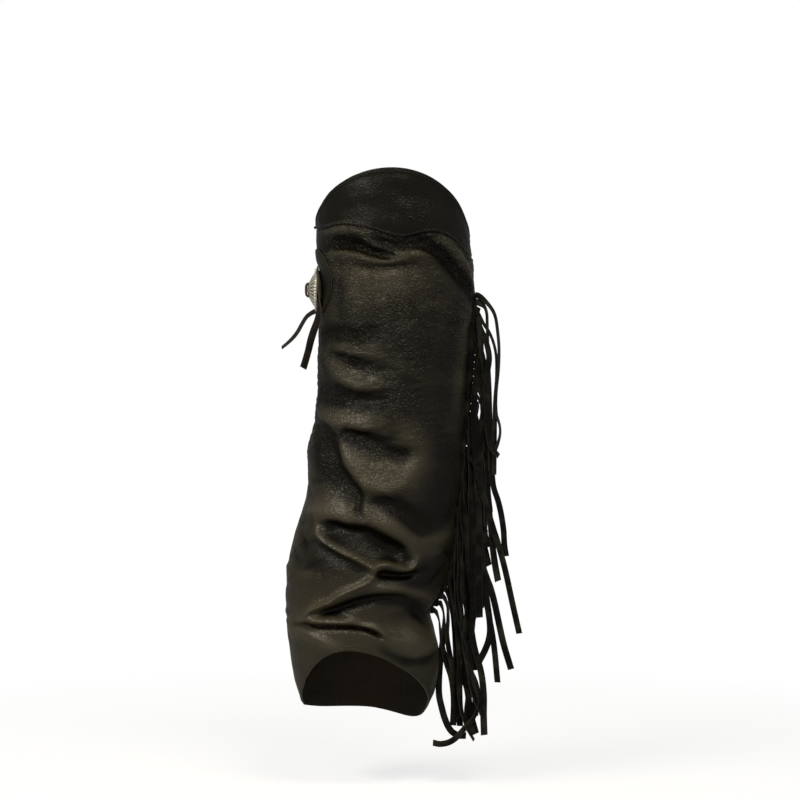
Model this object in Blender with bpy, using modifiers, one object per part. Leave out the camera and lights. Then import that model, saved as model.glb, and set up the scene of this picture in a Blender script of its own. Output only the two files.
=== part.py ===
"""A fringed leather half chap for a left leg, in the hollow form that it has when worn.

Metres, +Z up, the front of the leg towards -Y, the outer side of the leg towards +X. The origin lies
on the axis of the leg, level with the middle of the concho. Angles go round the leg in degrees:
0 at the front, 90 at the outer side, 180 at the back, -90 or 270 at the inner side.
"""

import math
from collections import namedtuple

import bmesh
import bpy
import numpy as np
from mathutils import Matrix, Vector

MM = 0.001

# Thicknesses and gaps, in millimetres
WALL = 1.5
SEAM_GAP = 0.3
LAID_GAP = 0.4  # under a piece that lies on another
TAB_THICK = 1.3
ROSETTE_THICK = 1.3
HEADER_THICK = 1.5
LACE_THICK = 1.2
LACE_WIDTH = 7.0

# The leg's sections. left, right: the sides of the leg at x; front, back: its depth each way
Section = namedtuple("Section", "z left right front back")
SECTIONS = (
    Section(-430, -88.0, 28.0, 74.0, 80.0),
    Section(-415, -91.0, 35.0, 74.0, 79.0),
    Section(-400, -95.0, 41.5, 74.0, 78.0),
    Section(-380, -100.0, 45.5, 74.0, 75.0),
    Section(-360, -103.0, 45.5, 74.0, 73.0),
    Section(-340, -105.5, 41.0, 73.0, 71.0),
    Section(-320, -106.5, 37.0, 72.0, 69.0),
    Section(-302, -107.0, 46.5, 74.0, 69.0),
    Section(-282, -106.5, 54.5, 76.0, 69.0),
    Section(-260, -102.5, 57.5, 75.0, 70.0),
    Section(-233, -95.0, 61.0, 74.0, 71.0),
    Section(-207, -87.0, 65.5, 73.0, 73.0),
    Section(-188, -84.5, 66.5, 72.0, 75.0),
    Section(-172, -86.0, 67.0, 72.0, 77.0),
    Section(-152, -84.0, 69.0, 72.0, 79.0),
    Section(-128, -78.5, 71.0, 72.0, 80.0),
    Section(-100, -75.8, 73.0, 72.0, 81.0),
    Section(-55, -75.0, 75.5, 73.0, 80.0),
    Section(-28, -73.0, 78.5, 73.0, 78.0),
    Section(0, -71.5, 81.5, 73.0, 75.0),
    Section(34, -75.8, 79.0, 73.0, 72.0),
    Section(62, -77.0, 75.5, 73.0, 68.0),
    Section(90, -75.5, 74.0, 72.0, 65.0),
    Section(122, -73.0, 72.0, 70.0, 62.0),
)
ARC_RADIUS = 76.0  # turns an angle round the leg into a length along the leather

# Edges of the panels, each a height along the angle
Edge = namedtuple("Edge", "angle z")
TOP_FRONT = 115.5
TOP_INNER_SIDE = 65.5
TOP_OUTER_SIDE = 53.5
TOP_BACK = 40.0
LEAST_RIM = 3.0  # the back panel's upper rows keep at least this height
YOKE_SEAM = (
    Edge(-98, 61), Edge(-60, 59), Edge(-37, 61), Edge(-20, 57), Edge(5, 47), Edge(35, 53),
    Edge(50, 47), Edge(66, 35), Edge(90, 32),
)
HEM = (
    Edge(-98, -416), Edge(-75, -403), Edge(-50, -378), Edge(-35, -363), Edge(-12, -353),
    Edge(8, -357), Edge(30, -371), Edge(57, -393), Edge(85, -418), Edge(105, -428),
    Edge(180, -427), Edge(230, -423), Edge(262, -416),
)

# The inner side's closing edge, which swings forward where the leather buckles above the ankle
INNER_EDGE = (
    Edge(-98, -440), Edge(-98, -330), Edge(-98, -302), Edge(-92, -280), Edge(-76, -266),
    Edge(-58, -246), Edge(-54, -228), Edge(-62, -210), Edge(-82, -192), Edge(-95, -176),
    Edge(-98, -155), Edge(-98, -130), Edge(-98, 130),
)
OUTER_ANGLE = 90.0

# The fringe's header in the outer seam: z and how far it stands out of the leather
HEADER_REACH = ((-321, 1.5), (-300, 4.5), (-270, 5.0), (-60, 5.0), (-30, 3.2), (-5, 1.2))
HEADER_SLOT = 2.1  # the seam is this wide where it holds the header

# The largest folds: a ridge or trough along points (angle, z), with its height outwards and its
# reach above and below the line
Fold = namedtuple("Fold", "points height above below")
FOLDS = (
    Fold(((-22, 55), (0, 43), (22, 43), (42, 28), (62, 12), (80, 0)), -3.5, 8, 8),
    Fold(((-62, 46), (-38, 44), (-12, 34), (4, 30)), -3.0, 6, 6),
    Fold(((-58, 33), (-30, 34), (5, 27), (30, 29), (48, 12)), 3.0, 8, 8),
    Fold(((-40, 12), (-12, 7), (18, 9)), 2.0, 11, 11),
    Fold(((-72, -42), (-34, -43), (-6, -45)), -3.5, 9, 9),
    Fold(((-60, -58), (-29, -59), (-5, -60)), 2.0, 9, 8),
    Fold(((-52, -73), (-36, -87), (-18, -92), (6, -91)), 3.0, 9, 8),
    Fold(((-54, -100), (-33, -105), (-12, -106)), -3.0, 8, 8),
    Fold(((-76, -113), (-42, -122), (-10, -125)), 3.5, 12, 8),
    Fold(((-80, -120), (-50, -138), (-35, -156), (-17, -190), (-10, -216)), -5.0, 9, 9),
    Fold(((-30, -140), (-10, -148), (20, -160)), -4.5, 9, 9),
    Fold(((-34, -152), (-20, -178), (-2, -192), (14, -188), (26, -172), (18, -150)), 3.5, 8, 8),
    Fold(((-62, -185), (-42, -205), (-22, -220)), 3.5, 12, 8),
    Fold(((-46, -229), (-12, -232), (12, -241), (32, -262)), -5.0, 8, 9),
    Fold(((-8, -221), (16, -236), (36, -254), (66, -266)), 3.0, 8, 8),
    Fold(((2, -203), (27, -223), (58, -244)), -3.0, 8, 8),
    Fold(((-48, -240), (-18, -259), (1, -272), (-12, -292), (-44, -313)), 4.5, 9, 9),
    Fold(((-56, -316), (-24, -313), (6, -306), (40, -302), (70, -310)), -4.5, 8, 8),
    Fold(((-60, -333), (-28, -326), (6, -327), (24, -337)), 2.5, 9, 9),
    Fold(((28, -350), (50, -350), (74, -342)), 4.0, 12, 12),
    Fold(((112, 12), (150, 2), (196, 6), (240, 18)), -3.5, 9, 9),
    Fold(((120, -14), (165, -20), (215, -12)), 2.5, 10, 10),
    Fold(((118, -150), (160, -172), (205, -168), (240, -150)), -3.0, 12, 12),
    Fold(((110, -236), (150, -252), (200, -246), (238, -226)), -4.0, 10, 10),
    Fold(((112, -262), (156, -274), (206, -268), (246, -252)), 3.5, 10, 10),
    Fold(((108, -306), (150, -300), (200, -304), (250, -314)), -4.5, 10, 10),
    Fold(((120, -334), (170, -330), (226, -338)), 3.0, 10, 10),
)

# The closing tab on the inner side, a tongue that points forward
TAB_ANGLE = -90.0
TAB_Z = 7.0
TAB_HALF_HEIGHT = 32.0
TAB_BACK = -32.0
TAB_ROUND = 16.0  # where the straight part ends and the round end starts

# The concho, its leather rosette and the lace through it, about the tab's angle at z = 0
ROSETTE_RADIUS = 24.0
CONCHO_RADIUS = 21.2
CONCHO_SHEET = 1.0
CONCHO_PROFILE = ((21.2, 0.0), (21.2, 0.9), (20.2, 1.6), (17.8, 2.4), (14.5, 4.5), (11.0, 6.4),
                  (7.5, 8.2), (4.5, 9.3), (2.2, 9.8), (0.0, 9.9))
SLOT_CENTRE = 6.2
SLOT_HALF_HEIGHT = 1.3
SLOT_HALF_LENGTH = 4.2

# The lace's free ends: each row is a point on the middle of the lace and the way its face looks,
# in degrees round the vertical, 0 looking to the front and -90 to the inner side
LacePoint = namedtuple("LacePoint", "x y z facing")
LACE_END_FRONT = (
    LacePoint(-76.5, -4.6, -14.0, -90),
    LacePoint(-76.7, -4.8, -18.0, -90),
    LacePoint(-76.9, -5.4, -22.0, -90),
    LacePoint(-77.5, -8.2, -28.0, -52),
    LacePoint(-78.3, -10.6, -35.0, -14),
    LacePoint(-80.4, -11.4, -43.0, -4),
    LacePoint(-82.8, -11.3, -52.0, 0),
    LacePoint(-85.2, -11.0, -61.0, 3),
    LacePoint(-87.3, -10.6, -70.0, 4),
    LacePoint(-89.8, -10.4, -78.0, 4),
)
LACE_END_SIDE = (
    LacePoint(-76.5, 5.0, -13.0, -90),
    LacePoint(-76.6, 6.4, -17.0, -90),
    LacePoint(-76.8, 7.6, -20.8, -92),
    LacePoint(-78.4, 8.2, -23.4, -98),
    LacePoint(-82.6, 8.4, -24.4, -106),
    LacePoint(-86.4, 7.8, -27.0, -114),
    LacePoint(-89.6, 6.6, -32.4, -118),
    LacePoint(-93.4, 5.0, -38.2, -120),
    LacePoint(-98.0, 3.4, -44.4, -120),
    LacePoint(-104.4, 2.0, -50.6, -118),
    LacePoint(-111.0, 1.0, -57.0, -114),
)

# The reach of the fringe: its outline seen from the front, outside the header
FRINGE_HALF_THICK = 6.0
FRINGE_OUTER = (
    (85, -4), (91, -8), (98, -16), (104, -28), (107, -50), (108, -76), (107, -110), (109, -140),
    (107, -170), (107, -198), (112, -226), (118, -264), (124, -306), (129, -338), (121, -380),
    (108, -394), (95, -446), (80, -451), (48, -455), (41, -451), (49, -422), (48, -396),
    (49, -376), (48, -356), (45, -336),
)
HEADER_CLEARANCE = 0.5

FRONT_COLUMNS = 22
BACK_COLUMNS = 20
LOWER_ROWS = 38
YOKE_ROWS = 8
BACK_TOP_ROWS = 3
HEADER_ROWS = 26


def spline(xs, ys):
    """A smooth curve through the points, as a function of x."""
    xs = np.asarray(xs, float)
    ys = np.asarray(ys, float)
    slopes = np.gradient(ys, xs)

    def value(x):
        x = min(max(x, xs[0]), xs[-1])
        i = min(int(np.searchsorted(xs, x, side="right")) - 1, len(xs) - 2)
        span = xs[i + 1] - xs[i]
        t = (x - xs[i]) / span
        return (
            (2 * t**3 - 3 * t**2 + 1) * ys[i]
            + (t**3 - 2 * t**2 + t) * span * slopes[i]
            + (3 * t**2 - 2 * t**3) * ys[i + 1]
            + (t**3 - t**2) * span * slopes[i + 1]
        )

    return value


SECTION_AT = {
    field: spline([row.z for row in SECTIONS], [getattr(row, field) for row in SECTIONS])
    for field in ("left", "right", "front", "back")
}
SEAM_AT = spline([e.angle for e in YOKE_SEAM], [e.z for e in YOKE_SEAM])
HEM_AT = spline([e.angle for e in HEM], [e.z for e in HEM])
INNER_AT = spline([e.z for e in INNER_EDGE], [e.angle for e in INNER_EDGE])
REACH_AT = spline([row[0] for row in HEADER_REACH], [row[1] for row in HEADER_REACH])


def top_edge(angle):
    """The open top: high over the front of the knee, low behind it."""
    turn = math.radians(angle)
    side = TOP_OUTER_SIDE if math.sin(turn) > 0 else TOP_INNER_SIDE
    if math.cos(turn) >= 0:
        return side + (TOP_FRONT - side) * math.cos(turn)
    return side + (TOP_BACK - side) * math.cos(turn) ** 2


def smooth_step(t):
    t = min(max(t, 0.0), 1.0)
    return t * t * (3 - 2 * t)


def fold_height(angle, z):
    """How far all the folds move the leather outwards at a place."""
    other = angle + 360 if angle < 90 else angle - 360
    here = np.array([[[math.radians(a) * ARC_RADIUS, z]] for a in (angle, other)])
    total = 0.0
    for fold in FOLDS:
        points = np.array([[math.radians(a) * ARC_RADIUS, h] for a, h in fold.points])
        starts, steps = points[:-1], np.diff(points, axis=0)
        along = np.clip(((here - starts) * steps).sum(2) / (steps**2).sum(1), 0, 1)
        away = (here - starts - steps * along[..., None]).reshape(-1, 2)
        distance = np.hypot(away[:, 0], away[:, 1])
        nearest = int(distance.argmin())
        reach = fold.above if away[nearest, 1] > 0 else fold.below
        total += fold.height * math.exp(-((distance[nearest] / reach) ** 2))
    return total * (1 - under_tab(angle, z))


def under_tab(angle, z):
    """1 where the closing tab holds the leather flat, falling to 0 around it."""
    turn = (angle - TAB_ANGLE + 180) % 360 - 180
    along = math.radians(turn) * ARC_RADIUS
    aside = max(abs(z - TAB_Z) - TAB_HALF_HEIGHT, 0)
    past = max(along - (TAB_ROUND + TAB_HALF_HEIGHT), TAB_BACK - along, 0)
    return 1 - smooth_step((math.hypot(aside, past) - 5) / 14)


def leg_point(angle, z, out=0.0):
    """A point on the leather's outer surface, or out from it, in metres."""
    turn = math.radians(angle)
    left, right = SECTION_AT["left"](z), SECTION_AT["right"](z)
    depth = SECTION_AT["front"](z) if math.cos(turn) > 0 else SECTION_AT["back"](z)
    away = fold_height(angle, z) + out
    x = (left + right) / 2 + ((right - left) / 2 + away) * math.sin(turn)
    y = -(depth + away) * math.cos(turn)
    return Vector((x, y, z)) * MM


def seam_half_angle(z, width):
    half = (SECTION_AT["right"](z) - SECTION_AT["left"](z)) / 2
    return math.degrees(width / 2 / half)


def inner_seam_width(z):
    """The gap round the leg at the closing edge: where the edge slants, a wider one stays even."""
    slant = math.radians(INNER_AT(z + 8) - INNER_AT(z - 8)) * ARC_RADIUS / 16
    return SEAM_GAP * math.hypot(1, 1.3 * slant)


def outer_seam_width(z):
    """The outer seam opens where it holds the fringe's header."""
    low, high = HEADER_REACH[0][0], HEADER_REACH[-1][0]
    inside = smooth_step((z - low + 14) / 10) * smooth_step((high + 14 - z) / 10)
    return SEAM_GAP + (HEADER_SLOT - SEAM_GAP) * inside


def front_angle(z, s):
    """The angle of a column of the front, s from 0 at the inner edge to 1 at the outer seam."""
    start = INNER_AT(z) + seam_half_angle(z, inner_seam_width(z))
    end = OUTER_ANGLE - seam_half_angle(z, outer_seam_width(z))
    return start + (end - start) * s


def back_angle(z, s):
    """The angle of a column of the back, s from 0 at the outer seam to 1 at the inner edge."""
    start = OUTER_ANGLE + seam_half_angle(z, outer_seam_width(z))
    end = INNER_AT(z) + 360 - seam_half_angle(z, inner_seam_width(z))
    return start + (end - start) * s


def wall_rows(angle_at, nominal, columns, heights):
    """Rows of (angle, z): heights(nominal angle) gives each column's heights from the bottom up."""
    shares = np.linspace(0, 1, columns)
    stacks = [heights(nominal[0] + (nominal[1] - nominal[0]) * s) for s in shares]
    return [
        [(angle_at(z, s), z) for s, z in zip(shares, row)]
        for row in zip(*stacks)
    ]


def closed_mesh(name, outer, inner, ring=False):
    """A wall between two grids of points. A ring's rows join end to end."""
    rows, columns = len(outer), len(outer[0])
    mesh = bmesh.new()
    grids = [[[mesh.verts.new(p) for p in row] for row in grid] for grid in (outer, inner)]
    wraps = columns if ring else columns - 1
    for i in range(rows - 1):
        for j in range(wraps):
            k = (j + 1) % columns
            a, b = grids
            mesh.faces.new((a[i][j], a[i][k], a[i + 1][k], a[i + 1][j]))
            mesh.faces.new((b[i][j], b[i + 1][j], b[i + 1][k], b[i][k]))
    for row in (0, rows - 1):
        for j in range(wraps):
            k = (j + 1) % columns
            mesh.faces.new([grids[0][row][j], grids[0][row][k], grids[1][row][k], grids[1][row][j]])
    if not ring:
        for column in (0, columns - 1):
            for i in range(rows - 1):
                mesh.faces.new([grids[0][i][column], grids[0][i + 1][column],
                                grids[1][i + 1][column], grids[1][i][column]])
    bmesh.ops.recalc_face_normals(mesh, faces=mesh.faces)
    data = bpy.data.meshes.new(name)
    mesh.to_mesh(data)
    mesh.free()
    return data


def material(name, color, roughness, metallic=0.0):
    made = bpy.data.materials.new(name)
    made.use_nodes = True
    shader = made.node_tree.nodes["Principled BSDF"]
    shader.inputs["Base Color"].default_value = (*color, 1.0)
    shader.inputs["Roughness"].default_value = roughness
    shader.inputs["Metallic"].default_value = metallic
    return made


def add_object(name, data, collection, finish):
    made = bpy.data.objects.new(name, data)
    data.materials.append(finish)
    collection.objects.link(made)
    data.shade_smooth()
    data.set_sharp_from_angle(angle=math.radians(40))
    return made


def add_wall(name, rows, collection, finish, low=-WALL, high=0.0, ring=False):
    """A wall over rows of (angle, z), from low to high out of the leather's surface."""
    outer = [[leg_point(a, z, high) for a, z in row] for row in rows]
    inner = [[leg_point(a, z, low) for a, z in row] for row in rows]
    return add_object(name, closed_mesh(name, outer, inner, ring), collection, finish)


def make_yoke(collection, finish):
    def heights(angle):
        return np.linspace(SEAM_AT(angle) + SEAM_GAP / 2, top_edge(angle), YOKE_ROWS)

    rows = wall_rows(front_angle, (INNER_AT(0), OUTER_ANGLE), FRONT_COLUMNS, heights)
    add_wall("knee_yoke", rows, collection, finish)


def make_front(collection, finish):
    def heights(angle):
        return np.linspace(HEM_AT(angle), SEAM_AT(angle) - SEAM_GAP / 2, LOWER_ROWS)

    rows = wall_rows(front_angle, (INNER_AT(0), OUTER_ANGLE), FRONT_COLUMNS, heights)
    add_wall("front_panel", rows, collection, finish)


def make_back(collection, finish):
    """One piece from hem to top edge. Its lower rows meet the front panel's rows at both seams."""
    inner = INNER_AT(0) + 360
    outer_level, inner_level = SEAM_AT(OUTER_ANGLE), SEAM_AT(INNER_AT(0))

    def heights(angle):
        share = smooth_step((angle - OUTER_ANGLE) / (inner - OUTER_ANGLE))
        middle = outer_level + (inner_level - outer_level) * share
        middle = min(middle, top_edge(angle) - LEAST_RIM) - SEAM_GAP / 2
        lower = np.linspace(HEM_AT(angle), middle, LOWER_ROWS)
        return np.concatenate([lower, np.linspace(middle, top_edge(angle), BACK_TOP_ROWS + 1)[1:]])

    rows = wall_rows(back_angle, (OUTER_ANGLE, inner), BACK_COLUMNS, heights)
    add_wall("back_panel", rows, collection, finish)


def make_tab(collection, finish):
    """The tongue: straight from its back end, then round."""
    columns = [(length, TAB_HALF_HEIGHT) for length in np.linspace(TAB_BACK, TAB_ROUND, 9)]
    for turn in np.radians(np.linspace(12, 84, 7)):
        columns.append((TAB_ROUND + TAB_HALF_HEIGHT * math.sin(turn), TAB_HALF_HEIGHT * math.cos(turn)))
    rows = [
        [(TAB_ANGLE + math.degrees(length / ARC_RADIUS), TAB_Z + v * half) for length, half in columns]
        for v in np.linspace(-1, 1, 9)
    ]
    add_wall("closure_tab", rows, collection, finish, LAID_GAP, LAID_GAP + TAB_THICK)


def make_rosette(collection, finish):
    """A round leather washer with a small centre hole, which follows the tab."""
    low = 2 * LAID_GAP + TAB_THICK
    turns = np.radians(np.arange(0, 360, 12))
    rows = [
        [
            (TAB_ANGLE + math.degrees(radius * math.cos(t) / ARC_RADIUS), radius * math.sin(t))
            for t in turns
        ]
        for radius in (2.0, 9.0, 16.5, ROSETTE_RADIUS)
    ]
    add_wall("concho_rosette", rows, collection, finish, low, low + ROSETTE_THICK, ring=True)


def concho_frame():
    """The concho's place: its base rests on the rosette at the top and on the lace at the bottom."""
    rosette = 2 * LAID_GAP + TAB_THICK + ROSETTE_THICK
    top = leg_point(TAB_ANGLE, CONCHO_RADIUS, rosette + SEAM_GAP)
    bottom = leg_point(TAB_ANGLE, -CONCHO_RADIUS, rosette + 2 * SEAM_GAP + LACE_THICK)
    middle = (top + bottom) / 2
    up = (top - bottom).normalized()
    side = Vector((0.0, 1.0, 0.0))
    axis = side.cross(up).normalized()
    if axis.x > 0:
        axis.negate()
    return Matrix.Translation(middle) @ Matrix((side, up, axis)).transposed().to_4x4()


def make_concho(collection, cutters, finish):
    """A domed metal disc of even sheet, turned, with two slots that the lace passes through."""
    outline = list(CONCHO_PROFILE)
    inside = [(r - CONCHO_SHEET * 0.5 if r > 1 else 0.0, h - CONCHO_SHEET) for r, h in CONCHO_PROFILE[3:]]
    inside.append((0.0, CONCHO_PROFILE[-1][1] - CONCHO_SHEET))
    ledge = [(CONCHO_RADIUS - 2.0, 0.0)]
    points = outline + sorted(set(inside), key=lambda p: p[0]) + ledge
    data = bpy.data.meshes.new("concho")
    data.from_pydata([(r * MM, 0, h * MM) for r, h in points], [(i, i + 1) for i in range(len(points) - 1)]
                     + [(len(points) - 1, 0)], [])
    concho = bpy.data.objects.new("concho", data)
    data.materials.append(finish)
    collection.objects.link(concho)
    screw = concho.modifiers.new("turn", "SCREW")
    screw.axis = "Z"
    screw.steps = screw.render_steps = 40
    screw.use_merge_vertices = True
    screw.merge_threshold = 0.00001
    screw.use_normal_calculate = True
    concho.matrix_world = concho_frame()
    for number, side in enumerate((1, -1)):
        bpy.ops.mesh.primitive_cube_add(size=1)
        slot = bpy.context.object
        slot.name = f"slot_cutter_{number}"
        slot.matrix_world = (
            concho_frame()
            @ Matrix.Translation((0, side * SLOT_CENTRE * MM, 6 * MM))
            @ Matrix.Diagonal((2 * SLOT_HALF_LENGTH * MM, 2 * SLOT_HALF_HEIGHT * MM, 14 * MM, 1))
        )
        for owner in list(slot.users_collection):
            owner.objects.unlink(slot)
        cutters.objects.link(slot)
        slot.hide_render = True
        slot.display_type = "WIRE"
        cut = concho.modifiers.new(f"slot_{number}", "BOOLEAN")
        cut.operation = "DIFFERENCE"
        cut.object = slot


def ribbon(name, spine, collection, finish, width=LACE_WIDTH, thick=LACE_THICK):
    """A flat strap along a spine of (point, way across its width, way out of its face), in mm."""
    outer, inner = [], []
    for point, across, face in spine:
        edges = [point - across * width / 2, point, point + across * width / 2]
        outer.append([(e + face * thick / 2) * MM for e in edges])
        inner.append([(e - face * thick / 2) * MM for e in edges])
    return add_object(name, closed_mesh(name, outer, inner), collection, finish)


def make_lace_end(name, rows, collection, finish):
    points = [Vector((row.x, row.y, row.z)) for row in rows]
    spine = []
    for i, row in enumerate(rows):
        along = (points[min(i + 1, len(rows) - 1)] - points[max(i - 1, 0)]).normalized()
        turn = math.radians(row.facing)
        face = Vector((math.sin(turn), -math.cos(turn), 0))
        across = along.cross(face).normalized()
        spine.append((points[i], across, across.cross(along).normalized()))
    ribbon(name, spine, collection, finish)


def make_lace_bridge(collection, finish):
    """The lace over the top of the concho, from inside one slot to inside the other."""
    frame = concho_frame()
    turn = frame.to_3x3()
    lift = CONCHO_PROFILE[-1][1] + SEAM_GAP + LACE_THICK / 2
    # Along the concho's own up, and out of its face
    route = ((6.2, 5.2), (6.2, 8.2), (6.1, 9.6), (5.2, lift - 0.3), (3.2, lift), (0, lift))
    path = [Vector((0, up, out)) for up, out in route]
    path += [Vector((0, -p.y, p.z)) for p in reversed(path[:-1])]
    spine = []
    for i, p in enumerate(path):
        along = (path[min(i + 1, len(path) - 1)] - path[max(i - 1, 0)]).normalized()
        across = Vector((1, 0, 0))
        face = across.cross(along).normalized()
        point = frame @ (p * MM) / MM
        spine.append((point, turn @ across, turn @ face))
    ribbon("lace_bridge", spine, collection, finish)


def header_heights():
    return np.linspace(HEADER_REACH[0][0], HEADER_REACH[-1][0], HEADER_ROWS)


def make_header(collection, finish):
    """The strip that the fringe is cut from, standing out of the outer seam."""
    outer, inner = [], []
    half = Vector((0, HEADER_THICK / 2 * MM, 0))
    for z in header_heights():
        edge = [leg_point(OUTER_ANGLE, z, -WALL), leg_point(OUTER_ANGLE, z, REACH_AT(z))]
        for point in edge:
            point.y = 0.0
        outer.append([p - half for p in edge])
        inner.append([p + half for p in edge])
    add_object("fringe_header", closed_mesh("fringe_header", outer, inner), collection, finish)


def make_fringe(collection, finish):
    """The space that the hanging strands fill, as one plain solid."""
    inner_side = []
    for z in header_heights():
        x = leg_point(OUTER_ANGLE, z, REACH_AT(z)).x / MM + HEADER_CLEARANCE
        inner_side.append((x, z))
    outline = list(FRINGE_OUTER) + inner_side
    curve = bpy.data.curves.new("fringe", "CURVE")
    curve.dimensions = "2D"
    curve.fill_mode = "BOTH"
    curve.extrude = FRINGE_HALF_THICK * MM
    line = curve.splines.new("POLY")
    line.points.add(len(outline) - 1)
    for point, (x, z) in zip(line.points, outline):
        point.co = (x * MM, z * MM, 0, 1)
    line.use_cyclic_u = True
    curve.materials.append(finish)
    fringe = bpy.data.objects.new("fringe", curve)
    fringe.rotation_euler = (math.radians(90), 0, 0)
    collection.objects.link(fringe)


def main():
    for old in list(bpy.data.objects):
        bpy.data.objects.remove(old, do_unlink=True)
    collection = bpy.data.collections.new("fringed_half_chap")
    cutters = bpy.data.collections.new("cutters")
    bpy.context.scene.collection.children.link(collection)
    bpy.context.scene.collection.children.link(cutters)
    leather = material("black_leather", (0.016, 0.015, 0.012), 0.45)
    lace = material("lace_leather", (0.012, 0.011, 0.010), 0.6)
    silver = material("antique_silver", (0.50, 0.48, 0.42), 0.35, 1.0)
    make_yoke(collection, leather)
    make_front(collection, leather)
    make_back(collection, leather)
    make_tab(collection, leather)
    make_rosette(collection, leather)
    make_concho(collection, cutters, silver)
    make_lace_bridge(collection, lace)
    make_lace_end("lace_end_front", LACE_END_FRONT, collection, lace)
    make_lace_end("lace_end_side", LACE_END_SIDE, collection, lace)
    make_header(collection, leather)
    make_fringe(collection, leather)


main()
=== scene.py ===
import math

import bmesh
import bpy
import numpy as np
from mathutils import Matrix, Vector


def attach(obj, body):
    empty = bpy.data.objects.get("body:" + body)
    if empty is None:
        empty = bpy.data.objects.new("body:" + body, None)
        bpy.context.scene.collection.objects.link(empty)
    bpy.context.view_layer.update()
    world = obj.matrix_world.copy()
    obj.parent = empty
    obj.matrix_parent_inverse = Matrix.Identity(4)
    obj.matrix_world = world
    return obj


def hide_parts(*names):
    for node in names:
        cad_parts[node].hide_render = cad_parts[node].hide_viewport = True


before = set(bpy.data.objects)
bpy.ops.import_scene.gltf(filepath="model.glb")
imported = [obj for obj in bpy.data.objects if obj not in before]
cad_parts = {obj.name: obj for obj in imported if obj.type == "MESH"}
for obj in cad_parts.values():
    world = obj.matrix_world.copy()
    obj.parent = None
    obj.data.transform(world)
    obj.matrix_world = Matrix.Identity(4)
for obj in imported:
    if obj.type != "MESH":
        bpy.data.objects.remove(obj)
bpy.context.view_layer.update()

# A fringed leather half chap for the left leg, as worn. Its front looks to -Y, its fringe hangs at +X.
# Sizes are in millimetres and are turned into metres where a mesh is made.
# An angle goes round the leg: 0 front, 90 outer side, 180 back, -90 inner side.

mm = 0.001
scene = bpy.context.scene


# Short ways to build node trees and to place what is made

def setInputs(tree, node, inputs):
    # each input takes a value or another node's socket
    for key, value in inputs.items():
        if isinstance(value, bpy.types.NodeSocket):
            tree.links.new(value, node.inputs[key])
        else:
            node.inputs[key].default_value = value


def addNode(tree, kind, inputs=None, **settings):
    made = tree.nodes.new(kind)
    for key, value in settings.items():
        setattr(made, key, value)
    setInputs(tree, made, inputs or {})
    return made


def computed(tree, operation, *values):
    return addNode(tree, "ShaderNodeMath", dict(enumerate(values)), operation=operation).outputs[0]


def ranged(tree, value, low, high, toLow, toHigh):
    return addNode(tree, "ShaderNodeMapRange", {"From Min": low, "From Max": high, "To Min": toLow,
                                                "To Max": toHigh, "Value": value}).outputs[0]


def addObject(name, data):
    made = bpy.data.objects.new(name, data)
    scene.collection.objects.link(made)
    return made


def settle(piece, slot, *nodes):
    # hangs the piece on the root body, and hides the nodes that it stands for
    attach(piece, "root")
    if nodes:
        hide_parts(*nodes)


def emptyNodes(owner):
    owner.use_nodes = True
    owner.node_tree.nodes.clear()
    return owner.node_tree


# Camera, floor and light

studio = {
    "cameraPlace": (0.007, -2.222, -0.110),
    "lens": 100, "sensor": 36,
    "floorHeight": -0.495,
    "floorSize": 12.0,
    "floorColor": (0.9, 0.9, 0.9, 1),
    "shadowReach": (0.35, 1.1),     # the shadow shows near the object only
    "shadowFade": (0.75, 1.0),
    "warmth": (1.0, 0.95, 0.81),
    "roomLight": 0.05,      # how much the room itself lights the leather
    "lampAim": (-0.01, 0, -0.15),
    "lamps": {      # place, width, height, power
        "key": ((-1.3, -1.15, 1.2), 1.0, 0.4, 56),
        "fill": ((1.7, -0.9, 0.4), 0.8, 0.8, 2),
        "top": ((0.5, -1.2, 1.5), 0.8, 0.4, 34),
    },
}


def addCamera():
    data = bpy.data.cameras.new("view")
    data.lens = studio["lens"]
    data.sensor_width = studio["sensor"]
    scene.camera = addObject("view", data)
    scene.camera.location = studio["cameraPlace"]
    scene.camera.rotation_euler = (math.radians(90), 0, 0)


def addSoftbox(name, place, width, height, power):
    data = bpy.data.lights.new(name, "AREA")
    data.shape = "RECTANGLE"
    data.size = width
    data.size_y = height
    data.color = studio["warmth"]
    data.energy = power
    lamp = addObject(name, data)
    lamp.location = place
    lamp.rotation_euler = (Vector(studio["lampAim"]) - lamp.location).to_track_quat("-Z", "Y").to_euler()


def seenRays(tree):
    # 1 for what the camera sees, straight, in a mirror or through glass
    path = addNode(tree, "ShaderNodeLightPath").outputs
    direct = computed(tree, "MAXIMUM", path["Is Camera Ray"], path["Is Transmission Ray"])
    return computed(tree, "MAXIMUM", direct, path["Is Glossy Ray"])


def addRoom():
    world = bpy.data.worlds.new("room")
    tree = emptyNodes(world)
    white = addNode(tree, "ShaderNodeBackground", {"Color": (1, 1, 1, 1), "Strength": 1.0})
    dim = addNode(tree, "ShaderNodeBackground", {"Strength": studio["roomLight"]})
    choose = addNode(tree, "ShaderNodeMixShader",
                     {0: seenRays(tree), 1: dim.outputs[0], 2: white.outputs[0]})
    addNode(tree, "ShaderNodeOutputWorld", {"Surface": choose.outputs[0]})
    scene.world = world


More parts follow.
